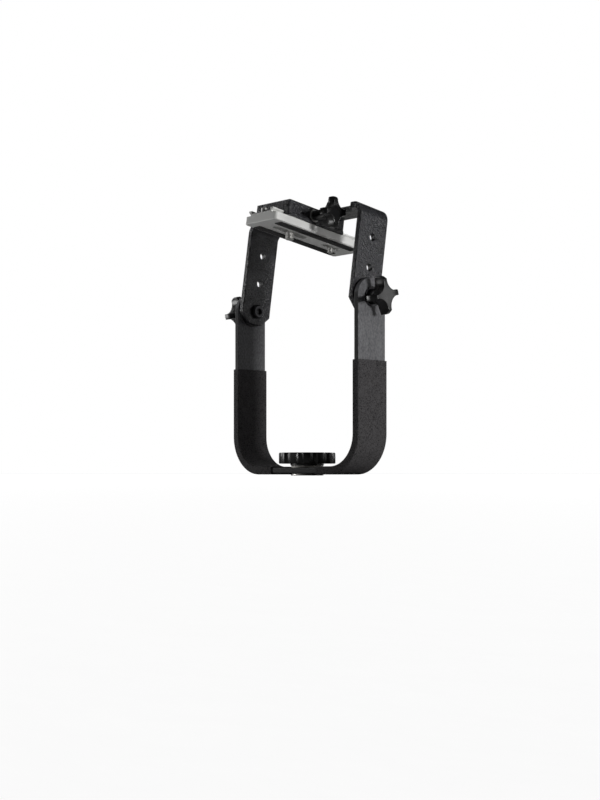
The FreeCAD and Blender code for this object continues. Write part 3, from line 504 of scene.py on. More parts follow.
@dataclass(frozen=True)
class Lobes(Outline):
    """Outline with round scallops between its lobes.

    Attributes:
        notch: how near the axis a scallop comes.
        scallop: the scallop's radius.
        corner: how far the rounding of a lobe's corner reaches along both of its sides.
        tip_steps, side_steps: faces across half of a lobe's tip and half of a scallop.
    """

    notch: float
    scallop: float
    corner: float
    tip_steps: int = 3
    side_steps: int = 9

    def rays(self) -> list[Vector]:
        """Points of one lobe with half a scallop on each side.

        Returns:
            The points, from the one scallop's middle to the other's.
        """
        half = math.pi / self.sectors
        reach = self.notch + self.scallop
        away = math.acos((self.tip ** 2 + reach ** 2 - self.scallop ** 2) / (2 * self.tip * reach))
        corner_angle = half - away
        middle = reach * Vector((math.cos(half), math.sin(half)))
        corner = self.tip * Vector((math.cos(corner_angle), math.sin(corner_angle)))
        spoke = corner - middle
        turned = math.atan2(spoke.y, spoke.x) % TURN
        tip_end = corner_angle - self.corner / self.tip
        side_start = turned + math.copysign(self.corner / self.scallop, half + math.pi - turned)
        tip_arc = arc(self.tip, 0.0, tip_end, self.tip_steps)
        side_arc = arc(self.scallop, side_start, half + math.pi, self.side_steps, middle)
        upper = tip_arc + round_corner(tip_arc[-1], corner, side_arc[0], (0.25, 0.5, 0.75)) + side_arc
        lower = [Vector((spot.x, -spot.y)) for spot in reversed(upper[1:])]
        return lower + upper


@dataclass(frozen=True)
class Hexagon(Outline):
    """Outline of a hexagon whose tip radius is that of its corners."""

    def rays(self) -> list[Vector]:
        """Points of one flat side.

        Returns:
            The points, evenly turned about the axis.
        """
        half, steps = math.pi / self.sectors, 8
        flat = self.tip * math.cos(half)
        angles = [half * step / steps for step in range(-steps, steps + 1)]
        return [Vector((flat, flat * math.tan(angle))) for angle in angles]


@dataclass(frozen=True)
class Knurl(Outline):
    """Outline of straight knurling: sharp low teeth whose roots lie a depth below their tips."""

    depth: float = 0.35

    def rays(self) -> list[Vector]:
        """Points of one tooth.

        Returns:
            The points: root, both ends of the flat tip, root.
        """
        half = math.pi / self.sectors
        reaches = ((-half, self.depth), (-half / 3, 0.0), (half / 3, 0.0), (half, self.depth))
        return [(self.tip - drop) * Vector((math.cos(angle), math.sin(angle))) for angle, drop in reaches]


PLAIN = Outline(12, 1.0)


# ---------------------------------------------------------------------------- node trees that make meshes

@dataclass
class Recipe:
    """Geometry Nodes tree with named inputs, which turns one mesh into a finished one.

    Attributes:
        name: the tree's name.
        numbers: names of its number inputs, and whether each is whole.
        inputs: the identifier of each input's socket.
    """

    name: str
    numbers: dict[str, bool]
    inputs: dict[str, str] = field(default_factory=dict)

    def __post_init__(self) -> None:
        """Make the tree's interface, then its nodes."""
        self.tree = bpy.data.node_groups.new(self.name, "GeometryNodeTree")
        self.graph = Graph(self.tree)
        face = self.tree.interface
        face.new_socket("Geometry", in_out="INPUT", socket_type="NodeSocketGeometry")
        face.new_socket("Geometry", in_out="OUTPUT", socket_type="NodeSocketGeometry")
        kinds = {name: "NodeSocketInt" if whole else "NodeSocketFloat"
                 for name, whole in self.numbers.items()}
        for name, kind in {**kinds, "Finish": "NodeSocketMaterial"}.items():
            self.inputs[name] = face.new_socket(name, in_out="INPUT", socket_type=kind).identifier
        self.given = self.graph.add("NodeGroupInput").outputs
        self.close(self.fill())

    def fill(self) -> bpy.types.Node:
        """Add the nodes of this recipe and return the one that carries the instances."""
        raise NotImplementedError

    def tune(self, geometry: bpy.types.Node) -> bpy.types.Node:
        """Change the realized mesh; the plain recipe leaves it."""
        return geometry

    def close(self, instances: bpy.types.Node) -> None:
        """End the tree: real geometry, joined seams and the finish.

        Args:
            instances: the node that carries the instances.
        """
        realized = self.graph.add("GeometryNodeRealizeInstances", instances)
        joined = self.graph.add("GeometryNodeMergeByDistance", realized)
        joined.inputs["Distance"].default_value = SAME_PLACE / MM
        dressed = self.graph.add("GeometryNodeSetMaterial", self.tune(joined))
        self.graph.feed(dressed.inputs["Material"], self.given["Finish"])
        self.graph.add("NodeGroupOutput", dressed)

    def run(self, mesh: bpy.types.Mesh, node: str, **sizes: float) -> bpy.types.Mesh:
        """Run the tree on a mesh.

        Args:
            mesh: what goes in, in millimetres.
            node: the CAD node that has the finish.
            sizes: the tree's inputs by name, with _ for a space.

        Returns:
            The finished plain mesh.
        """
        carrier = put_in_scene("carrier", mesh)
        modifier = carrier.modifiers.new(self.name, "NODES")
        modifier.node_group = self.tree
        for name, size in {**sizes, "Finish": MATERIALS[NODE_SLOTS[node]]}.items():
            modifier[self.inputs[name.replace("_", " ")]] = size
        return take_mesh(carrier)


class RoundRecipe(Recipe):
    """Repeats a sector round the Z axis, then cuts a thread in one stretch of it."""

    def fill(self) -> bpy.types.Node:
        """Copies of the sector, turned by equal steps.

        Returns:
            The node that carries the instances.
        """
        line = self.graph.add("GeometryNodeMeshLine")
        self.graph.feed(line.inputs["Count"], self.given["Sectors"])
        line.inputs["Offset"].default_value = (0.0, 0.0, 0.0)
        step = self.graph.math("DIVIDE", TURN, self.given["Sectors"])
        turn = self.graph.math("MULTIPLY", self.graph.add("GeometryNodeInputIndex"), step)
        turns = self.graph.add("ShaderNodeCombineXYZ", None, None, turn)
        copies = self.graph.add("GeometryNodeInstanceOnPoints", line)
        self.graph.feed(copies.inputs["Instance"], self.given["Geometry"])
        self.graph.feed(copies.inputs["Rotation"], turns)
        return copies

    def tune(self, geometry: bpy.types.Node) -> bpy.types.Node:
        """Move the wall between two heights in or out along a helix.

        Args:
            geometry: the node that carries the realized mesh.

        Returns:
            The node that carries the threaded mesh.
        """
        whole_turns, half_turn, wall_tolerance = 100.0, 0.5, 0.02
        graph, given = self.graph, self.given
        parts = graph.add("ShaderNodeSeparateXYZ", graph.add("GeometryNodeInputPosition"))
        across, along, height = (parts.outputs[axis] for axis in "XYZ")
        turned = graph.math("DIVIDE", graph.math("ARCTAN2", along, across), TURN)
        climbed = graph.math("DIVIDE", height, given["Pitch"])
        phase = graph.math("ADD", graph.math("SUBTRACT", climbed, turned), whole_turns)
        wave = graph.math("PINGPONG", phase, half_turn)
        above = graph.math("GREATER_THAN", height, given["Thread low"])
        below = graph.math("LESS_THAN", height, given["Thread high"])
        flat = graph.add("ShaderNodeCombineXYZ", across, along)
        reach = graph.add("ShaderNodeVectorMath", flat, operation="LENGTH").outputs["Value"]
        near = graph.math("COMPARE", reach, given["Thread radius"], wall_tolerance)
        inside = graph.math("MULTIPLY", graph.math("MULTIPLY", above, below), near)
        shift = graph.math("MULTIPLY", graph.math("MULTIPLY", wave, inside), given["Thread depth"])
        outward = graph.add("ShaderNodeVectorMath", flat, operation="NORMALIZE")
        move = graph.add("ShaderNodeVectorMath", outward, operation="SCALE")
        graph.feed(move.inputs["Scale"], shift)
        moved = graph.add("GeometryNodeSetPosition", geometry)
        graph.feed(moved.inputs["Offset"], move)
        return moved


class RowRecipe(Recipe):
    """Repeats a mesh along a straight row."""

    def fill(self) -> bpy.types.Node:
        """Copies at equal steps along X or Y, from the mesh's own place.

        Returns:
            The node that carries the instances.
        """
        line = self.graph.add("GeometryNodeMeshLine")
        step = self.graph.add("ShaderNodeCombineXYZ", self.given["Step X"], self.given["Step Y"])
        self.graph.feed(line.inputs["Count"], self.given["Copies"])
        self.graph.feed(line.inputs["Offset"], step)
        copies = self.graph.add("GeometryNodeInstanceOnPoints", line)
        self.graph.feed(copies.inputs["Instance"], self.given["Geometry"])
        return copies


ROUND = RoundRecipe("repeat_round_axis", {"Sectors": True, "Pitch": False, "Thread depth": False,
                                          "Thread radius": False, "Thread low": False, "Thread high": False})
ROW = RowRecipe("repeat_in_row", {"Copies": True, "Step X": False, "Step Y": False})


@dataclass(frozen=True)
class Thread:
    """Helical thread on a wall of one radius; a depth below zero cuts it inwards."""

    radius: float
    low: float
    high: float
    pitch: float
    depth: float

    def levels(self) -> list[Level]:
        """Close levels along the threaded wall.

        Returns:
            The levels, from the wall's low end to its high one.
        """
        levels_each_pitch = 8
        rows = math.ceil((self.high - self.low) / self.pitch * levels_each_pitch)
        return [Level(self.radius, self.low + (self.high - self.low) * row / rows) for row in range(rows + 1)]


NO_THREAD = Thread(0.0, 0.0, 0.0, 1.0, 0.0)


@dataclass(frozen=True)
class Stack:
    """Shape made of contours stacked along its own Z axis, one sector of which repeats round it."""

    outline: Outline
    levels: Sequence[Level]
    thread: Thread = NO_THREAD

    def contour(self, level: Level) -> list[Vector]:
        """Points of one level's sector.

        Args:
            level: the level.

        Returns:
            One point for each ray of the outline, in millimetres.
        """
        rays = self.outline.rays()
        spots = []
        for index, ray in enumerate(rays):
            spot = ray
            if level.lobed and level.inset:
                before, after = rays[max(index - 1, 0)], rays[min(index + 1, len(rays) - 1)]
                along = (after - before).normalized()
                if index in (0, len(rays) - 1):
                    along = Vector((-ray.y, ray.x)).normalized()
                spot = ray - level.inset * Vector((along.y, -along.x))
            reach = min(spot.length, level.radius) if level.lobed else level.radius
            spots.append(Vector((*(spot.normalized() * reach), level.height)))
        return spots

    def mesh(self, node: str, closed: bool = False) -> bpy.types.Mesh:
        """Make the whole round mesh, in millimetres.

        Args:
            node: the CAD node that has the finish.
            closed: whether the last level joins the first, as in a ring.

        Returns:
            The mesh about its own Z axis.
        """
        rows = [self.contour(level) for level in self.levels]
        width = len(rows[0])
        corners = [spot for row in rows for spot in row]
        pairs = list(zip(range(len(rows)), range(1, len(rows)))) + ([(len(rows) - 1, 0)] if closed else [])
        faces = [(low * width + step, low * width + step + 1, high * width + step + 1, high * width + step)
                 for low, high in pairs for step in range(width - 1)]
        sector = bpy.data.meshes.new("sector")
        sector.from_pydata(corners, [], faces)
        helix = self.thread              # the tree's wave runs from 0 to half, so it takes twice the depth
        return ROUND.run(sector, node, Sectors=self.outline.sectors, Pitch=helix.pitch,
                         Thread_depth=2 * helix.depth, Thread_radius=helix.radius,
                         Thread_low=helix.low, Thread_high=helix.high)


# ---------------------------------------------------------------------------- pieces in their places

def hand_over(name: str, mesh: bpy.types.Mesh, node: str) -> bpy.types.Object:
    """Make a piece of a mesh that is in its place, hang it on its node's body and hide the CAD node.

    Args:
        name: the piece's name.
        mesh: its mesh, in metres.
        node: the CAD node that it stands for, whose body and finish it has.

    Returns:
        The finished piece.
    """
    piece = put_in_scene(name, mesh)
    dress(piece, node)
    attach(piece, BODIES[node])
    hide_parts(node)
    LOG.info("%s: %d faces on %s", name, len(mesh.polygons), BODIES[node])
    return piece


def settle(name: str, meshes: bpy.types.Mesh | Sequence[tuple[bpy.types.Mesh, Matrix]], place: Matrix,
           node: str) -> bpy.types.Object:
    """Put a finished mesh in its place and hand it to the frame.

    Args:
        name: the piece's name.
        meshes: its mesh in millimetres, or several with a place each.
        place: where it goes, in millimetres.
        node: the CAD node that it stands for.

    Returns:
        The finished piece.
    """
    parts = [(meshes, Matrix())] if isinstance(meshes, bpy.types.Mesh) else meshes
    whole = bmesh.new()
    for mesh, spot in parts:
        part = mesh.copy()
        part.transform(spot)
        whole.from_mesh(part)
        bpy.data.meshes.remove(part)
    bmesh.ops.dissolve_degenerate(whole, dist=SAME_PLACE / MM, edges=whole.edges)
    bmesh.ops.recalc_face_normals(whole, faces=whole.faces)
    made = bpy.data.meshes.new(name)
    whole.to_mesh(made)
    whole.free()
    made.transform(TO_METRES @ place)
    made.shade_smooth()
    made.set_sharp_from_angle(angle=SMOOTH_LIMIT)
    return hand_over(name, made, node)


def rounded_copy(node: str, rounding: float, steps: int = 2) -> bpy.types.Object:
    """Copy a CAD node with its flat faces whole and its edges rounded.

    Args:
        node: the CAD node's name.
        rounding: width of the rounded edges, in millimetres.
        steps: faces across each rounded edge.

    Returns:
        The finished piece.
    """
    shape = bmesh.new()
    shape.from_mesh(frame["nodes"][node].data)
    bmesh.ops.remove_doubles(shape, verts=shape.verts, dist=SAME_PLACE)
    bmesh.ops.dissolve_limit(shape, angle_limit=FLAT_LIMIT, verts=shape.verts, edges=shape.edges)
    mesh = bpy.data.meshes.new(node)
    shape.to_mesh(mesh)
    shape.free()
    mesh.shade_smooth()
    carrier = put_in_scene("carrier", mesh)
    bevel = carrier.modifiers.new("rounded_edges", "BEVEL")
    bevel.limit_method = "ANGLE"
    bevel.angle_limit = SMOOTH_LIMIT
    bevel.width = rounding * MM
    bevel.segments = steps
    bevel.use_clamp_overlap = True
    weigh = carrier.modifiers.new("even_shading", "WEIGHTED_NORMAL")
    weigh.keep_sharp = True
    return hand_over(f"{node}_rounded", take_mesh(carrier), node)


PIVOT = 192.4                            # height of the tilt axis, in millimetres
REST_TILT = math.radians(-8.5)
CRADLE = Matrix.Translation((0.0, 0.0, PIVOT)) @ Matrix.Rotation(REST_TILT, 4, "X")


def lifted(height: float, along: float = 0.0) -> Matrix:
    """Place on the head's middle plane, at a height and a Y in millimetres."""
    return Matrix.Translation((0.0, along, height))


def sideways(reach: float, along: float, height: float, side: Side, turn: float = 0.0) -> Matrix:
    """Lay a piece's own Z axis along X, outwards on its side of the head.

    Args:
        reach: of the piece's origin from the middle, in millimetres.
        along, height: the origin's Y and Z.
        side: the side that it faces.
        turn: degrees that it is turned about its own axis.

    Returns:
        The place.
    """
    swing = Matrix.Rotation(side.value * TURN / 4, 4, "Y")
    spin = Matrix.Rotation(math.radians(turn) * side.value, 4, "Z")
    return Matrix.Translation((side.value * reach, along, height)) @ swing @ spin


@dataclass(frozen=True)
class Washer:
    """Flat ring with softened edges, which stands for the CAD node of the same name.

    Attributes:
        node: the CAD node's name.
        inner, outer: its radii, in millimetres.
        low, high: its faces along its own axis.
        edge: how far its edges are rounded.
    """

    node: str
    inner: float
    outer: float
    low: float
    high: float
    edge: float = 0.25

    def build(self, place: Matrix) -> None:
        """Make the ring.

        Args:
            place: where its axis and its origin go, in millimetres.
        """
        levels = softened(((self.inner, self.low, self.edge), (self.outer, self.low, self.edge),
                           (self.outer, self.high, self.edge), (self.inner, self.high, self.edge)), steps=2)
        settle(f"{self.node}_ring", Stack(PLAIN, levels).mesh(self.node, closed=True), place, self.node)


@dataclass(frozen=True)
class SocketScrew:
    """Cap-headed screw with a hexagon socket, the head's underside at its origin, in millimetres."""

    head_radius: float
    head_height: float
    shank_radius: float
    shank_length: float
    socket_radius: float
    socket_depth: float
    widest_rim: float = 0.25
    point_edge: float = 0.3

    def mesh(self, node: str) -> bpy.types.Mesh:
        """Make the screw.

        Args:
            node: the CAD node that has the finish.

        Returns:
            The mesh, in millimetres.
        """
        floor, top = self.head_height - self.socket_depth, self.head_height
        rim = min(self.widest_rim, self.socket_radius / 8)
        edge = self.head_height / 6
        socket = [Level(0.0, floor - rim), Level(self.socket_radius, floor, 0.0, True),
                  Level(self.socket_radius, top - rim, 0.0, True), Level(self.socket_radius + rim, top)]
        outside = softened(((self.socket_radius + rim, top, 0.0), (self.head_radius, top, edge),
                            (self.head_radius, 0.0, edge / 2), (self.shank_radius, 0.0, 0.0),
                            (self.shank_radius, -self.shank_length, self.point_edge),
                            (0.0, -self.shank_length, 0.0)))
        return Stack(Hexagon(6, self.socket_radius), socket + outside[1:]).mesh(node)


@dataclass(frozen=True)
class Knob:
    """Lobed knob: a round hub, a flare and a scalloped crown with rounded edges, in millimetres.

    Attributes:
        node: the CAD node's name.
        bore, depth: radius and depth of the hole in its hub.
        hub, neck: the hub's radius and height.
        flare, band, crown: heights of the stretches above the hub.
        tip, front: how far the lobes reach at the band and at the front face.
        notch, scallop: how near the axis a scallop comes, and its radius.
        corner, edge: rounding of the lobes' corners and of the front face.
        lobes: how many lobes it has.
        mouth: how far the bore widens at the hub's end.
        hub_edge: (reach, height) of the levels that round the hub's end, from its sharp corner.
        neck_edge: how far below the flare the hub's wall ends; flare_foot is (reach, height) above it.
        flare_edge: (reach, height, inset) of the levels where the flare meets the band.
        band_drop: how far below the crown the band's wall ends.
        crown_edge: (reach, height) of the levels where the band meets the crown, along its slope.
        front_edge: (drop, inset) of the levels that round the front face, as shares of the edge.
        front_draw: how much further the rounded levels draw in, as a share of their inset.
        face_share: radius of the front's plain circle, as a share of the notch.
    """

    node: str
    bore: float
    depth: float
    hub: float
    neck: float
    flare: float
    band: float
    crown: float
    tip: float
    front: float
    notch: float
    scallop: float
    corner: float = 1.0
    edge: float = 0.8
    lobes: int = 4
    mouth: float = 0.4
    hub_edge: tuple[tuple[float, float], ...] = ((-0.5, 0.0), (-0.15, 0.15), (0.0, 0.5))
    neck_edge: float = 0.8
    flare_foot: tuple[float, float] = (0.25, 0.02)
    flare_edge: tuple[tuple[float, float, float], ...] = ((-0.9, -0.15, 0.45), (-0.25, 0.25, 0.12),
                                                          (0.0, 0.9, 0.0))
    band_drop: float = 0.7
    crown_edge: tuple[tuple[float, float], ...] = ((0.3, 0.1), (0.9, 0.9))
    front_edge: tuple[tuple[float, float], ...] = ((1.0, 0.0), (0.62, 0.07), (0.29, 0.29), (0.07, 0.62),
                                                   (0.0, 1.0))
    front_draw: float = 0.4
    face_share: float = 0.7

    def levels(self) -> list[Level]:
        """The knob's profile.

        Returns:
            The levels, from the bottom of its bore to the middle of its front.
        """
        low = self.neck + self.flare
        high = low + self.band
        top = high + self.crown
        slope = Vector((self.front - self.tip, self.crown)).normalized()
        foot_reach, foot_height = self.flare_foot
        levels = [Level(0.0, self.depth), Level(self.bore, self.depth), Level(self.bore, self.mouth),
                  Level(self.bore + self.mouth, 0.0)]
        levels += [Level(self.hub + reach, height) for reach, height in self.hub_edge]
        levels += [Level(self.hub, self.neck - self.neck_edge),
                   Level(self.hub + foot_reach, self.neck + foot_height, 0.0, True),
                   Level((self.hub + self.tip) / 2, self.neck + self.flare / 2, 0.0, True)]
        levels += [Level(self.tip + reach, low + height, inset, True)
                   for reach, height, inset in self.flare_edge]
        levels.append(Level(self.tip, high - self.band_drop, 0.0, True))
        levels += [Level(self.tip + slope.x * reach, high + slope.y * height, 0.0, True)
                   for reach, height in self.crown_edge]
        for drop, inset in self.front_edge:
            reach = self.front - slope.x / slope.y * drop * self.edge - self.front_draw * inset * self.edge
            levels.append(Level(reach, top - drop * self.edge, inset * self.edge, True))
        return levels + [Level(self.notch * self.face_share, top), Level(0.0, top)]

    def build(self, place: Matrix) -> None:
        """Make the knob.

        Args:
            place: where its axis and the end of its hub go, in millimetres.
        """
        outline = Lobes(self.lobes, self.tip, self.notch, self.scallop, self.corner)
        settle(f"{self.node}_moulding", Stack(outline, self.levels()).mesh(self.node), place, self.node)


# ---------------------------------------------------------------------------- sub-assemblies

@dataclass(frozen=True)
class PanBase:
    """Threaded bush that the head turns on, its washers and the pan lock wheel, in millimetres.

    Attributes:
        thread_minor, thread_depth, thread_pitch: of the thread in the bush's bore.
        thread_low, thread_high: the thread's ends; bore_top is the bore's; mouth is how far it widens below.
        flange_radius, flange_height: of the foot that rests on the tripod.
        bearing_radius, bearing_top: of the stretch that the outer frame turns on.
        stem_radius, stem_top: of the wheel's thread; groove_radius, groove_low, groove_top are the ring's.
        wheel_tip, wheel_notch, wheel_scallop, wheel_corner, wheel_lobes, wheel_turn: the wheel's outline.
        wheel_bore, boss_radius, boss_low: of the wheel's hub; rim_inner, rim_low, rim_top are its rim's.
        dish_radius, dish_step, dish_floor: of the hollow in its top.
        rim_low_edge, rim_top_edge: (height, inset) of the levels that round the rim.
        washers: the rings on the bush.
    """

    thread_minor: float = 3.97
    thread_depth: float = 0.79
    thread_pitch: float = 1.5875
    thread_low: float = 1.2
    thread_high: float = 15.0
    bore_top: float = 16.0
    mouth: float = 0.9
    flange_radius: float = 18.5
    flange_height: float = 1.8
    bearing_radius: float = 9.0
    bearing_top: float = 11.0
    stem_radius: float = 8.0
    stem_top: float = 24.0
    groove_radius: float = 7.2
    groove_low: float = 21.8
    groove_top: float = 22.9
    wheel_tip: float = 32.0
    wheel_notch: float = 29.4
    wheel_scallop: float = 4.6
    wheel_corner: float = 0.9
    wheel_lobes: int = 12
    wheel_turn: float = 16.5
    wheel_bore: float = 11.5
    boss_radius: float = 19.0
    boss_low: float = 11.2
    rim_inner: float = 24.0
    rim_low: float = 13.4
    rim_top: float = 25.8
    dish_radius: float = 25.0
    dish_step: float = 12.5
    dish_floor: float = 20.8
    rim_low_edge: tuple[tuple[float, float], ...] = ((0.0, 1.0), (0.3, 0.3), (1.0, 0.0))
    rim_top_edge: tuple[tuple[float, float], ...] = ((-1.3, 0.0), (-0.7, 0.14), (-0.32, 0.42), (-0.08, 0.82),
                                                     (0.0, 1.3))
    washers: tuple[Washer, ...] = (
        Washer("base_friction_washer", 9.05, 18.0, 1.8, 2.4, 0.12),
        Washer("pan_thrust_washer", 9.3, 18.0, 8.9, 11.2, 0.35),
        Washer("pan_wheel_insert", 8.05, 11.5, 11.2, 20.8),
        Washer("pan_retaining_ring", 7.2, 10.5, 21.8, 22.9, 0.2))

    def build_bush(self) -> None:
        """Flanged bush with a real helical thread in its bore."""
        thread = Thread(self.thread_minor, self.thread_low, self.thread_high, self.thread_pitch,
                        self.thread_depth)
        wide = self.thread_minor + self.mouth
        bore = [Level(0.0, self.bore_top), Level(self.thread_minor, self.bore_top),
                *reversed(thread.levels()), Level(self.thread_minor, self.mouth), Level(wide, 0.0)]
        flange, stem, groove = self.flange_radius, self.stem_radius, self.groove_radius
        outside = softened(((wide, 0.0, 0.0), (flange, 0.0, 0.4), (flange, self.flange_height, 0.4),
                            (self.bearing_radius, self.flange_height, 0.0),
                            (self.bearing_radius, self.bearing_top, 0.3), (stem, self.bearing_top, 0.0),
                            (stem, self.groove_low, 0.0), (groove, self.groove_low, 0.0),
                            (groove, self.groove_top, 0.0), (stem, self.groove_top, 0.0),
                            (stem, self.stem_top, 0.7), (0.0, self.stem_top, 0.0)))
        mesh = Stack(PLAIN, bore + outside[1:], thread).mesh("base_bush")
        settle("threaded_bush", mesh, Matrix(), "base_bush")

    def build_wheel(self) -> None:
        """Hand wheel with rounded rims."""
        tip, top = self.wheel_tip, self.rim_top
        boss = softened(((self.wheel_bore, self.boss_low, 0.0), (self.boss_radius, self.boss_low, 0.5),
                         (self.boss_radius, self.rim_low, 0.0), (self.rim_inner, self.rim_low, 0.0)))
        rim = [Level(tip, self.rim_low + height, inset, True) for height, inset in self.rim_low_edge]
        rim += [Level(tip, top + height, inset, True) for height, inset in self.rim_top_edge]
        dish = softened(((self.dish_radius, top, 0.0), (self.dish_step, top, 0.6),
                         (self.dish_step, self.dish_floor, 0.0), (self.wheel_bore, self.dish_floor, 0.0)))
        outline = Lobes(self.wheel_lobes, tip, self.wheel_notch, self.wheel_scallop, self.wheel_corner)
        mesh = Stack(outline, boss + rim + dish).mesh("pan_lock_wheel", closed=True)
        turned = Matrix.Rotation(math.radians(self.wheel_turn), 4, "Z")
        settle("pan_lock_wheel_moulding", mesh, turned, "pan_lock_wheel")

    def build(self) -> None:
        """Make every piece of the base."""
        self.build_bush()
        self.build_wheel()
        for washer in self.washers:
            washer.build(Matrix())


@dataclass(frozen=True)
class OuterFrame:
    """Outer U of bent bar with its rubber sleeves and pivot bushes, in millimetres."""

    bar_edge: float = 0.45
    bar_thickness: float = 6.5
    sleeve_edge: float = 0.55
    sleeve_edge_steps: int = 3
    inner_face: float = 95.5
    bush_inner: float = 4.05
    bush_outer: float = 7.05

    def build(self) -> None:
        """Make the bar, and a sleeve and a bush for each side."""
        rounded_copy("yoke_bar", self.bar_edge)
        for side in Side:
            rounded_copy(f"yoke_sleeve_{side.word}", self.sleeve_edge, self.sleeve_edge_steps)
            bush = Washer(f"yoke_pivot_bush_{side.word}", self.bush_inner, self.bush_outer, 0.0,
                          self.bar_thickness)
            bush.build(sideways(self.inner_face, 0.0, PIVOT, side))


@dataclass(frozen=True)
class TiltPivot:
    """One side's tilt pivot: knob, insert, stud and washers, in millimetres.

    Attributes:
        side: the side of the head.
        knob_turn, socket_turn: degrees that the knob and the stud's socket are turned.
        knob_seat, cradle_inner, cradle_outer, yoke_outer: faces that the pieces sit on, from the middle.
        stud_radius, stud_length: of the stud's shank.
        head_radius, head_height, head_bevel: of its head.
        socket_radius, socket_depth, socket_rim: of the hexagon in its head.
        insert_bore, insert_radius, insert_length: of the knob's insert.
    """

    side: Side
    knob_turn: float = 22.5
    socket_turn: float = 12.0
    knob_seat: float = 103.6
    cradle_inner: float = 87.0
    cradle_outer: float = 93.5
    yoke_outer: float = 102.0
    stud_radius: float = 4.0
    stud_length: float = 29.5
    head_radius: float = 8.0
    head_height: float = 5.0
    head_bevel: float = 1.2
    socket_radius: float = 3.4
    socket_depth: float = 3.0
    socket_rim: float = 0.4
    insert_bore: float = 4.05
    insert_radius: float = 6.05
    insert_length: float = 14.0

    def build_stud(self) -> None:
        """Stud whose socket head stands inside the cradle's arm."""
        node = f"tilt_stud_{self.side.word}"
        top, floor = -self.head_height, self.socket_depth - self.head_height
        wide = self.socket_radius + self.socket_rim
        socket = [Level(0.0, floor + 0.3), Level(self.socket_radius, floor, 0.0, True),
                  Level(self.socket_radius, top + self.socket_rim, 0.0, True), Level(wide, top)]
        outside = softened(((wide, top, 0.0), (self.head_radius - self.head_bevel, top, 0.4),
                            (self.head_radius, top + self.head_bevel, 0.4), (self.head_radius, 0.0, 0.2),
                            (self.stud_radius, 0.0, 0.0), (self.stud_radius, self.stud_length, 0.5),
                            (0.0, self.stud_length, 0.0)))
        mesh = Stack(Hexagon(6, self.socket_radius), socket + outside[1:]).mesh(node)
        place = CRADLE @ sideways(self.cradle_inner, 0.0, 0.0, self.side, self.socket_turn)
        settle(f"{node}_turned", mesh, place, node)

    def build(self) -> None:
        """Make every piece of this side's pivot."""
        word = self.side.word
        seat = CRADLE @ sideways(self.knob_seat, 0.0, 0.0, self.side, self.knob_turn)
        Knob(f"tilt_knob_{word}", bore=self.insert_radius, depth=self.insert_length, hub=8.5, neck=7.4,
             flare=2.4, band=7.0, crown=5.6, tip=20.6, front=16.7, notch=9.0, scallop=13.0).build(seat)
        Washer(f"tilt_knob_insert_{word}", self.insert_bore, self.insert_radius, 0.0,
               self.insert_length).build(seat)
        self.build_stud()
        Washer(f"tilt_friction_washer_{word}", 4.3, 17.0, 0.0, 2.0).build(
            sideways(self.cradle_outer, 0.0, PIVOT, self.side))
        Washer(f"tilt_outer_washer_{word}", 4.3, 11.0, 0.0, 1.6, 0.3).build(
            sideways(self.yoke_outer, 0.0, PIVOT, self.side))


@dataclass(frozen=True)
class InnerFrame:
    """Upside-down U that carries the clamp, and the screws through its crosspiece, in millimetres."""

    bar_edge: float = 0.45
    screw: SocketScrew = SocketScrew(head_radius=5.0, head_height=3.3, shank_radius=3.0, shank_length=10.4,
                                     socket_radius=2.4, socket_depth=1.7)
    screw_spacing: float = 32.0
    screw_seat: float = 100.2

    def build(self) -> None:
        """Make the bar and its two screws."""
        rounded_copy("cradle_bar", self.bar_edge)
        node = "clamp_mounting_screws"
        one = self.screw.mesh(node)
        one.transform(Matrix.Translation((-self.screw_spacing / 2, 0.0, 0.0)))
        both = ROW.run(one, node, Copies=2, Step_X=self.screw_spacing, Step_Y=0.0)
        settle("clamp_socket_screws", both, CRADLE @ lifted(self.screw_seat), node)


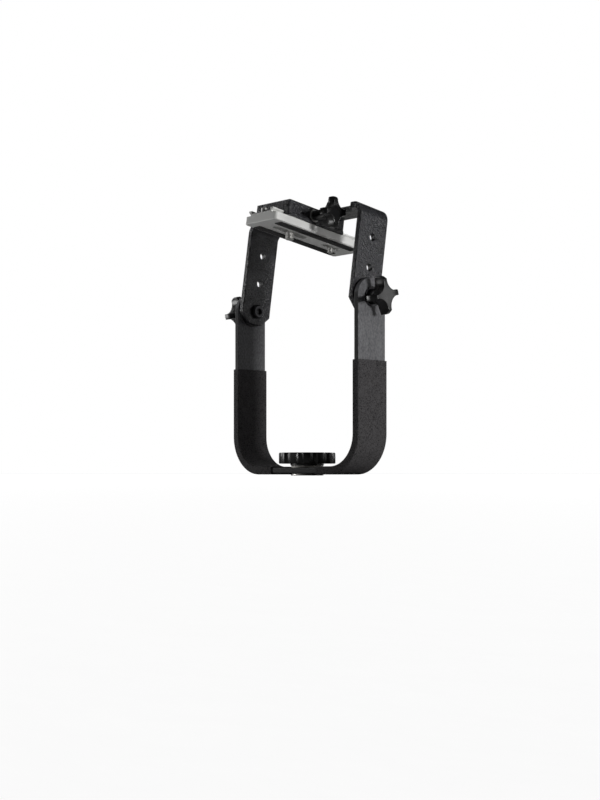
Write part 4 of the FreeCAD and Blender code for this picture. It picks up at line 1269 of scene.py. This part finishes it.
@dataclass(frozen=True)
class RailClamp:
    """Clamp block with its jaw, threaded bush, screw and knob, in millimetres.

    Attributes:
        block_edge, pad_edge: rounding of the block's and the jaw's edges.
        screw_along, screw_height: Y and Z of the screw's axis in the cradle.
        side_face, knob_seat: where the bush's flange and the knob's hub begin, from the middle.
        knob_turn: degrees that the knob is turned.
        screw_radius, screw_low, screw_grip: the screw's radius and the ends of its length.
        screw_point: how far its point is bevelled.
        thread_low, thread_high, thread_pitch, thread_depth: of the stretch of thread that shows.
        bush_bore, bush_body, bush_flange: radii of the bush; bush_depth is how far it goes in.
        flange_height: how far the bush stands out.
    """

    block_edge: float = 0.5
    pad_edge: float = 0.3
    screw_along: float = -29.0
    screw_height: float = 91.8
    side_face: float = 27.7
    knob_seat: float = 30.2
    knob_turn: float = 10.0
    screw_radius: float = 3.0
    screw_low: float = -12.9
    screw_grip: float = 22.0
    screw_point: float = 0.5
    thread_low: float = -5.0
    thread_high: float = -0.1
    thread_pitch: float = 1.0
    thread_depth: float = -0.5
    bush_bore: float = 3.05
    bush_body: float = 5.0
    bush_flange: float = 7.0
    bush_depth: float = 2.5
    flange_height: float = 1.8

    def on_axis(self, reach: float, turn: float = 0.0) -> Matrix:
        """Place on the screw's axis, so far from the middle and so turned."""
        return CRADLE @ sideways(reach, self.screw_along, self.screw_height, Side.RIGHT, turn)

    def build_screw(self) -> None:
        """Screw whose thread shows between the bush and the knob."""
        thread = Thread(self.screw_radius, self.thread_low, self.thread_high, self.thread_pitch,
                        self.thread_depth)
        levels = [Level(0.0, self.screw_low), Level(self.screw_radius - self.screw_point, self.screw_low),
                  Level(self.screw_radius, self.screw_low + self.screw_point), *thread.levels(),
                  Level(self.screw_radius, self.screw_grip), Level(0.0, self.screw_grip)]
        mesh = Stack(PLAIN, levels, thread).mesh("clamp_screw")
        settle("clamp_screw_threaded", mesh, self.on_axis(self.knob_seat), "clamp_screw")

    def build_bush(self) -> None:
        """Threaded bush whose flange stands out of the block's side."""
        bore, low, top = self.bush_bore, -self.bush_depth, self.flange_height
        flange = softened(((bore, low, 0.0), (self.bush_body, low, 0.3), (self.bush_body, 0.0, 0.0),
                           (self.bush_flange, 0.0, 0.15), (self.bush_flange, top, 0.5), (bore, top, 0.5)))
        mesh = Stack(PLAIN, flange).mesh("clamp_thread_bush", closed=True)
        settle("clamp_bush_turned", mesh, self.on_axis(self.side_face), "clamp_thread_bush")

    def build(self) -> None:
        """Make every piece of the clamp."""
        rounded_copy("clamp_body", self.block_edge)
        rounded_copy("clamp_pad", self.pad_edge)
        self.build_bush()
        self.build_screw()
        Knob("clamp_knob", bore=self.screw_radius, depth=self.screw_grip, hub=5.8, neck=19.5, flare=4.5,
             band=6.0, crown=3.0, tip=17.2, front=14.2, notch=8.7, scallop=10.5, corner=0.9,
             edge=0.7).build(self.on_axis(self.knob_seat, self.knob_turn))


@dataclass(frozen=True)
class LensScrew:
    """Captive camera screw with a knurled head, a coin slot and a real thread, in millimetres.

    Attributes:
        kind: the thread's name, which is part of the CAD nodes' names.
        radius, pitch, reach: of the thread, and how far it stands out of the grip strips.
        along: Y of the screw in the cradle.
        strip_face, recess_floor: the heights that the thread and the clip ring start from.
        clip_radius, clip_thickness, clip_gap: of the clip ring; the gap keeps it off the plate.
        head_radius, head_height, head_foot, head_face: of the knurled head and its two flat ends.
        knurls: how many teeth go round the head.
        slot_width, slot_depth: of the coin slot.
        neck_relief: how much thinner than the thread the neck is; thread_share is its depth by its pitch.
        point_bevel: how far the point is bevelled.
    """

    kind: str
    radius: float
    pitch: float
    reach: float
    along: float
    strip_face: float = 73.0
    recess_floor: float = 82.3
    clip_radius: float = 7.0
    clip_thickness: float = 0.8
    clip_gap: float = 0.03
    head_radius: float = 9.0
    head_height: float = 4.0
    head_foot: float = 7.5
    head_face: float = 7.9
    knurls: int = 40
    slot_width: float = 1.8
    slot_depth: float = 1.4
    neck_relief: float = 0.7
    thread_share: float = 0.55
    point_bevel: float = 0.7

    def build(self) -> None:
        """Make the screw and its clip."""
        node = f"plate_screw_{self.kind}"
        tip, neck = self.strip_face - self.reach, self.radius - self.neck_relief
        low = self.recess_floor + self.clip_thickness
        top = low + self.head_height
        thread = Thread(self.radius, tip + self.point_bevel, self.strip_face - 0.1, self.pitch,
                        -self.thread_share * self.pitch)
        shank = [Level(0.0, tip), Level(self.radius - self.point_bevel, tip), *thread.levels(),
                 Level(self.radius, self.strip_face), Level(neck, self.strip_face), Level(neck, low)]
        knurled = [Level(self.head_radius, height, inset, True)
                   for height, inset in ((low, 0.5), (low + 0.4, 0.0), (top - 0.5, 0.0), (top, 0.6))]
        head = [Level(self.head_foot, low), *knurled, Level(self.head_face, top), Level(0.0, top)]
        mesh = Stack(Knurl(self.knurls, self.head_radius), shank + head, thread).mesh(node)
        place = CRADLE @ lifted(0.0, self.along)
        settle(f"{node}_knurled", self.cut_slot(mesh, top), place, node)
        Washer(f"{self.kind}_screw_clip", neck + 0.05, self.clip_radius, self.recess_floor + self.clip_gap,
               low, 0.15).build(place)

    def cut_slot(self, mesh: bpy.types.Mesh, top: float) -> bpy.types.Mesh:
        """Cut the coin slot across the head.

        Args:
            mesh: the whole screw.
            top: height of the head's face.

        Returns:
            The slotted mesh.
        """
        shape = bmesh.new()
        size = Matrix.Diagonal((3 * self.head_radius, self.slot_width, 2 * self.slot_depth, 1.0))
        bmesh.ops.create_cube(shape, size=1.0, matrix=lifted(top) @ size)
        blade = bpy.data.meshes.new("coin_slot")
        shape.to_mesh(blade)
        shape.free()
        screw, slot = put_in_scene("screw", mesh), put_in_scene("slot", blade)
        cut = screw.modifiers.new("coin_slot", "BOOLEAN")
        cut.operation, cut.solver, cut.object = "DIFFERENCE", "EXACT", slot
        return take_mesh(screw, slot)


@dataclass(frozen=True)
class LensPlate:
    """Sliding plate with its ribbed grip strips, camera screws and stop screws, in millimetres.

    Attributes:
        plate_edge, strip_edge: rounding of the plate's and the strips' edges.
        strip_centre, strip_half_width: X of the strips' middles, and half of their width.
        strip_middle, strip_length: Y of their middle, and their length.
        strip_top, rib_face: heights of their back and of the ribs' faces.
        ribs, rib_depth: how many ribs each strip has, and how deep the grooves between them are.
        rib_profile: (share of the pitch, share of the depth) of the points along one rib.
        stop: the stop screws; stop_front is the Y of the first, and stop_step leads to the other.
        channel_floor: the height that the stop screws' heads rest on.
        screws: the camera screws.
    """

    plate_edge: float = 0.4
    strip_edge: float = 0.3
    strip_centre: float = 17.5
    strip_half_width: float = 5.4
    strip_middle: float = -13.0
    strip_length: float = 117.8
    strip_top: float = 74.7
    rib_face: float = 73.0
    rib_depth: float = 0.55
    ribs: int = 51
    rib_profile: tuple[tuple[float, float], ...] = (
        (0.0, 1.0), (0.12, 1.0), (0.2, 0.35), (0.28, 0.0), (0.72, 0.0), (0.8, 0.35), (0.88, 1.0), (1.0, 1.0))
    stop: SocketScrew = SocketScrew(head_radius=3.5, head_height=6.1, shank_radius=1.5, shank_length=5.9,
                                    socket_radius=1.7, socket_depth=2.2)
    stop_front: float = 52.0
    stop_step: float = -130.0
    channel_floor: float = 84.8
    screws: tuple[LensScrew, ...] = (LensScrew("quarter", 3.175, 1.27, 5.5, 26.0),
                                     LensScrew("three_eighths", 4.76, 1.5875, 7.0, -37.5))

    def strip_mesh(self, node: str) -> bpy.types.Mesh:
        """Make one ribbed strip whose first rib starts at the origin.

        Args:
            node: the CAD node that has the finish.

        Returns:
            The closed strip, in millimetres.
        """
        pitch = self.strip_length / self.ribs
        wide, soft, back = self.strip_half_width, self.strip_edge, self.strip_top
        spots, faces = [], []
        for share, depth in self.rib_profile:
            face = self.rib_face + depth * self.rib_depth
            ring = ((-wide, back), (-wide, face + soft), (-wide + soft, face), (wide - soft, face),
                    (wide, face + soft), (wide, back))
            spots += [(across, share * pitch, height) for across, height in ring]
        loop = len(spots) // len(self.rib_profile)
        for start in range(0, len(spots) - loop, loop):
            for step in range(loop):
                turn = (step + 1) % loop
                faces.append((start + step, start + turn, start + loop + turn, start + loop + step))
        tile = bpy.data.meshes.new("rib")
        tile.from_pydata(spots, [], faces)
        strip = ROW.run(tile, node, Copies=self.ribs, Step_X=0.0, Step_Y=pitch)
        shape = bmesh.new()
        shape.from_mesh(strip)
        bmesh.ops.holes_fill(shape, edges=[edge for edge in shape.edges if edge.is_boundary])
        shape.to_mesh(strip)
        shape.free()
        return strip

    def build(self) -> None:
        """Make the plate and everything on it."""
        rounded_copy("quick_plate", self.plate_edge)
        node = "plate_pads"
        strip = self.strip_mesh(node)
        start = self.strip_middle - self.strip_length / 2
        pair = [(strip, Matrix.Translation((side.value * self.strip_centre, start, 0.0))) for side in Side]
        settle("grip_strips", pair, CRADLE, node)
        for screw in self.screws:
            screw.build()
        node = "plate_stop_screws"
        one = self.stop.mesh(node)
        one.transform(lifted(self.channel_floor, self.stop_front))
        both = ROW.run(one, node, Copies=2, Step_X=0.0, Step_Y=self.stop_step)
        settle("stop_socket_screws", both, CRADLE, node)


# ---------------------------------------------------------------------------- studio

@dataclass(frozen=True)
class Softbox:
    """One soft rectangular light, aimed at the head and not seen by the camera itself.

    Attributes:
        name: the light's name.
        place, aim: its centre and the point that it faces, in metres.
        width, height: of the light, in metres.
        radiance: how bright its face is, where 1 looks white.
    """

    name: str
    place: Point
    width: float
    height: float
    radiance: float
    aim: Point = (0.0, 0.0, 0.16)

    def build(self) -> None:
        """Make the light and turn it to its aim."""
        lamp = bpy.data.lights.new(self.name, "AREA")
        lamp.shape = "RECTANGLE"
        lamp.size, lamp.size_y = self.width, self.height
        lamp.energy = self.radiance * math.pi * self.width * self.height
        light = put_in_scene(self.name, lamp)
        light.location = self.place
        towards = Vector(self.aim) - Vector(self.place)
        light.rotation_euler = towards.to_track_quat("-Z", "Y").to_euler()
        light.visible_camera = False


@dataclass(frozen=True)
class Studio:
    """Pale floor, soft lights and the camera.

    Attributes:
        azimuth: degrees round the pan axis, 0 looking along +Y.
        distance: from the pan axis to the camera, in metres.
        eye_height: of the camera above the origin; near_limit is the nearest that it sees.
        focal_px, frame_px: the lens's focal length and the render's size, in pixels.
        axis_px: where the level line of sight through the pan axis falls in the render.
        floor_width: of the square floor, in metres.
        floor_glow, floor_bounce: how much brighter the floor looks, and how much light it throws back.
        room_light, backdrop_light: the room's brightness on the head and to the camera.
        softboxes: the lights.
    """

    azimuth: float = 47.0
    distance: float = 1.548
    eye_height: float = 2.4 * MM
    near_limit: float = 4 * MM
    focal_px: float = 1370.0
    frame_px: tuple[int, int] = (600, 800)
    axis_px: tuple[float, float] = (307.2, 473.4)
    floor_width: float = 12.0
    floor_glow: float = 0.86
    floor_bounce: float = 0.35
    room_light: float = 0.03
    backdrop_light: float = 1.0
    softboxes: tuple[Softbox, ...] = (
        Softbox("key_softbox", (1.72, 0.08, 0.22), 0.24, 0.24, 98.0),
        Softbox("sheen_panel", (1.35, 1.16, 0.34), 0.55, 0.68, 2.3),
        Softbox("left_softbox", (-0.62, -0.46, 0.08), 0.30, 0.40, 6.5, (-0.05, 0.0, 0.08)),
        Softbox("rear_softbox", (-0.50, 1.55, 0.42), 0.9, 0.8, 3.8),
        Softbox("side_softbox", (-1.65, 0.15, 0.60), 0.9, 0.9, 4.0),
        Softbox("top_softbox", (-0.30, -0.15, 1.90), 1.2, 1.2, 0.9),
        Softbox("front_fill", (-0.20, -1.70, 0.30), 0.5, 0.5, 0.5))

    def make_camera(self) -> None:
        """Level camera with just the shift that the framing needs."""
        camera = bpy.data.cameras.new("camera")
        width, height = self.frame_px
        camera.lens = self.focal_px / height * camera.sensor_width
        camera.shift_x = (width / 2 - self.axis_px[0]) / height
        camera.shift_y = (self.axis_px[1] - height / 2) / height
        camera.clip_start = self.near_limit
        eye = put_in_scene("camera", camera)
        turn = math.radians(self.azimuth)
        eye.location = (math.sin(turn) * self.distance, -math.cos(turn) * self.distance, self.eye_height)
        eye.rotation_euler = (math.pi / 2, 0.0, turn)
        bpy.context.scene.camera = eye

    def floor_paint(self) -> bpy.types.Material:
        """Pale paint that looks brighter than the light it throws back on the head.

        Returns:
            The floor's material.
        """
        paint = FLOOR_PAINT.make()
        graph = Graph(paint.node_tree)
        output = next(node for node in paint.node_tree.nodes if node.type == "OUTPUT_MATERIAL")
        shader = output.inputs["Surface"].links[0].from_socket
        glow = graph.add("ShaderNodeEmission", (1.0, 1.0, 1.0, 1.0), self.floor_glow)
        dull = graph.add("ShaderNodeBsdfDiffuse", (self.floor_bounce,) * 3 + (1.0,))
        lit = graph.add("ShaderNodeAddShader", shader, glow)
        seen = graph.add("ShaderNodeLightPath").outputs["Is Camera Ray"]
        graph.feed(output.inputs["Surface"], graph.add("ShaderNodeMixShader", seen, dull, lit))
        return paint

    def make_floor(self) -> None:
        """Large pale floor at the height that the head stands on."""
        half = self.floor_width / 2
        mesh = bpy.data.meshes.new("floor")
        corners = [(-half, -half, 0.0), (half, -half, 0.0), (half, half, 0.0), (-half, half, 0.0)]
        mesh.from_pydata(corners, [], [(0, 1, 2, 3)])
        mesh.materials.append(self.floor_paint())
        put_in_scene("floor", mesh)

    def make_room(self) -> None:
        """Even room light, with a brighter backdrop where the camera sees it directly."""
        world = bpy.data.worlds.new("room")
        bpy.context.scene.world = world
        world.use_nodes = True
        world.node_tree.nodes.clear()
        graph = Graph(world.node_tree)
        output = graph.add("ShaderNodeOutputWorld")
        room = graph.add("ShaderNodeBackground", (1.0, 1.0, 1.0, 1.0), self.room_light)
        backdrop = graph.add("ShaderNodeBackground", (1.0, 1.0, 1.0, 1.0), self.backdrop_light)
        seen = graph.add("ShaderNodeLightPath").outputs["Is Camera Ray"]
        graph.feed(output.inputs["Surface"], graph.add("ShaderNodeMixShader", seen, room, backdrop))

    def build(self) -> None:
        """Make the whole studio."""
        self.make_camera()
        self.make_floor()
        self.make_room()
        for softbox in self.softboxes:
            softbox.build()
        bpy.context.scene.view_settings.view_transform = "Standard"
        LOG.info("studio ready")


def main() -> None:
    """Build the studio and every sub-assembly."""
    logging.basicConfig(level=logging.INFO, format="%(name)s: %(message)s")
    Studio().build()
    dress_nodes()
    pivots = [TiltPivot(side) for side in Side]
    for assembly in (PanBase(), OuterFrame(), *pivots, InnerFrame(), RailClamp(), LensPlate()):
        assembly.build()


if __name__ == "__main__":
    main()
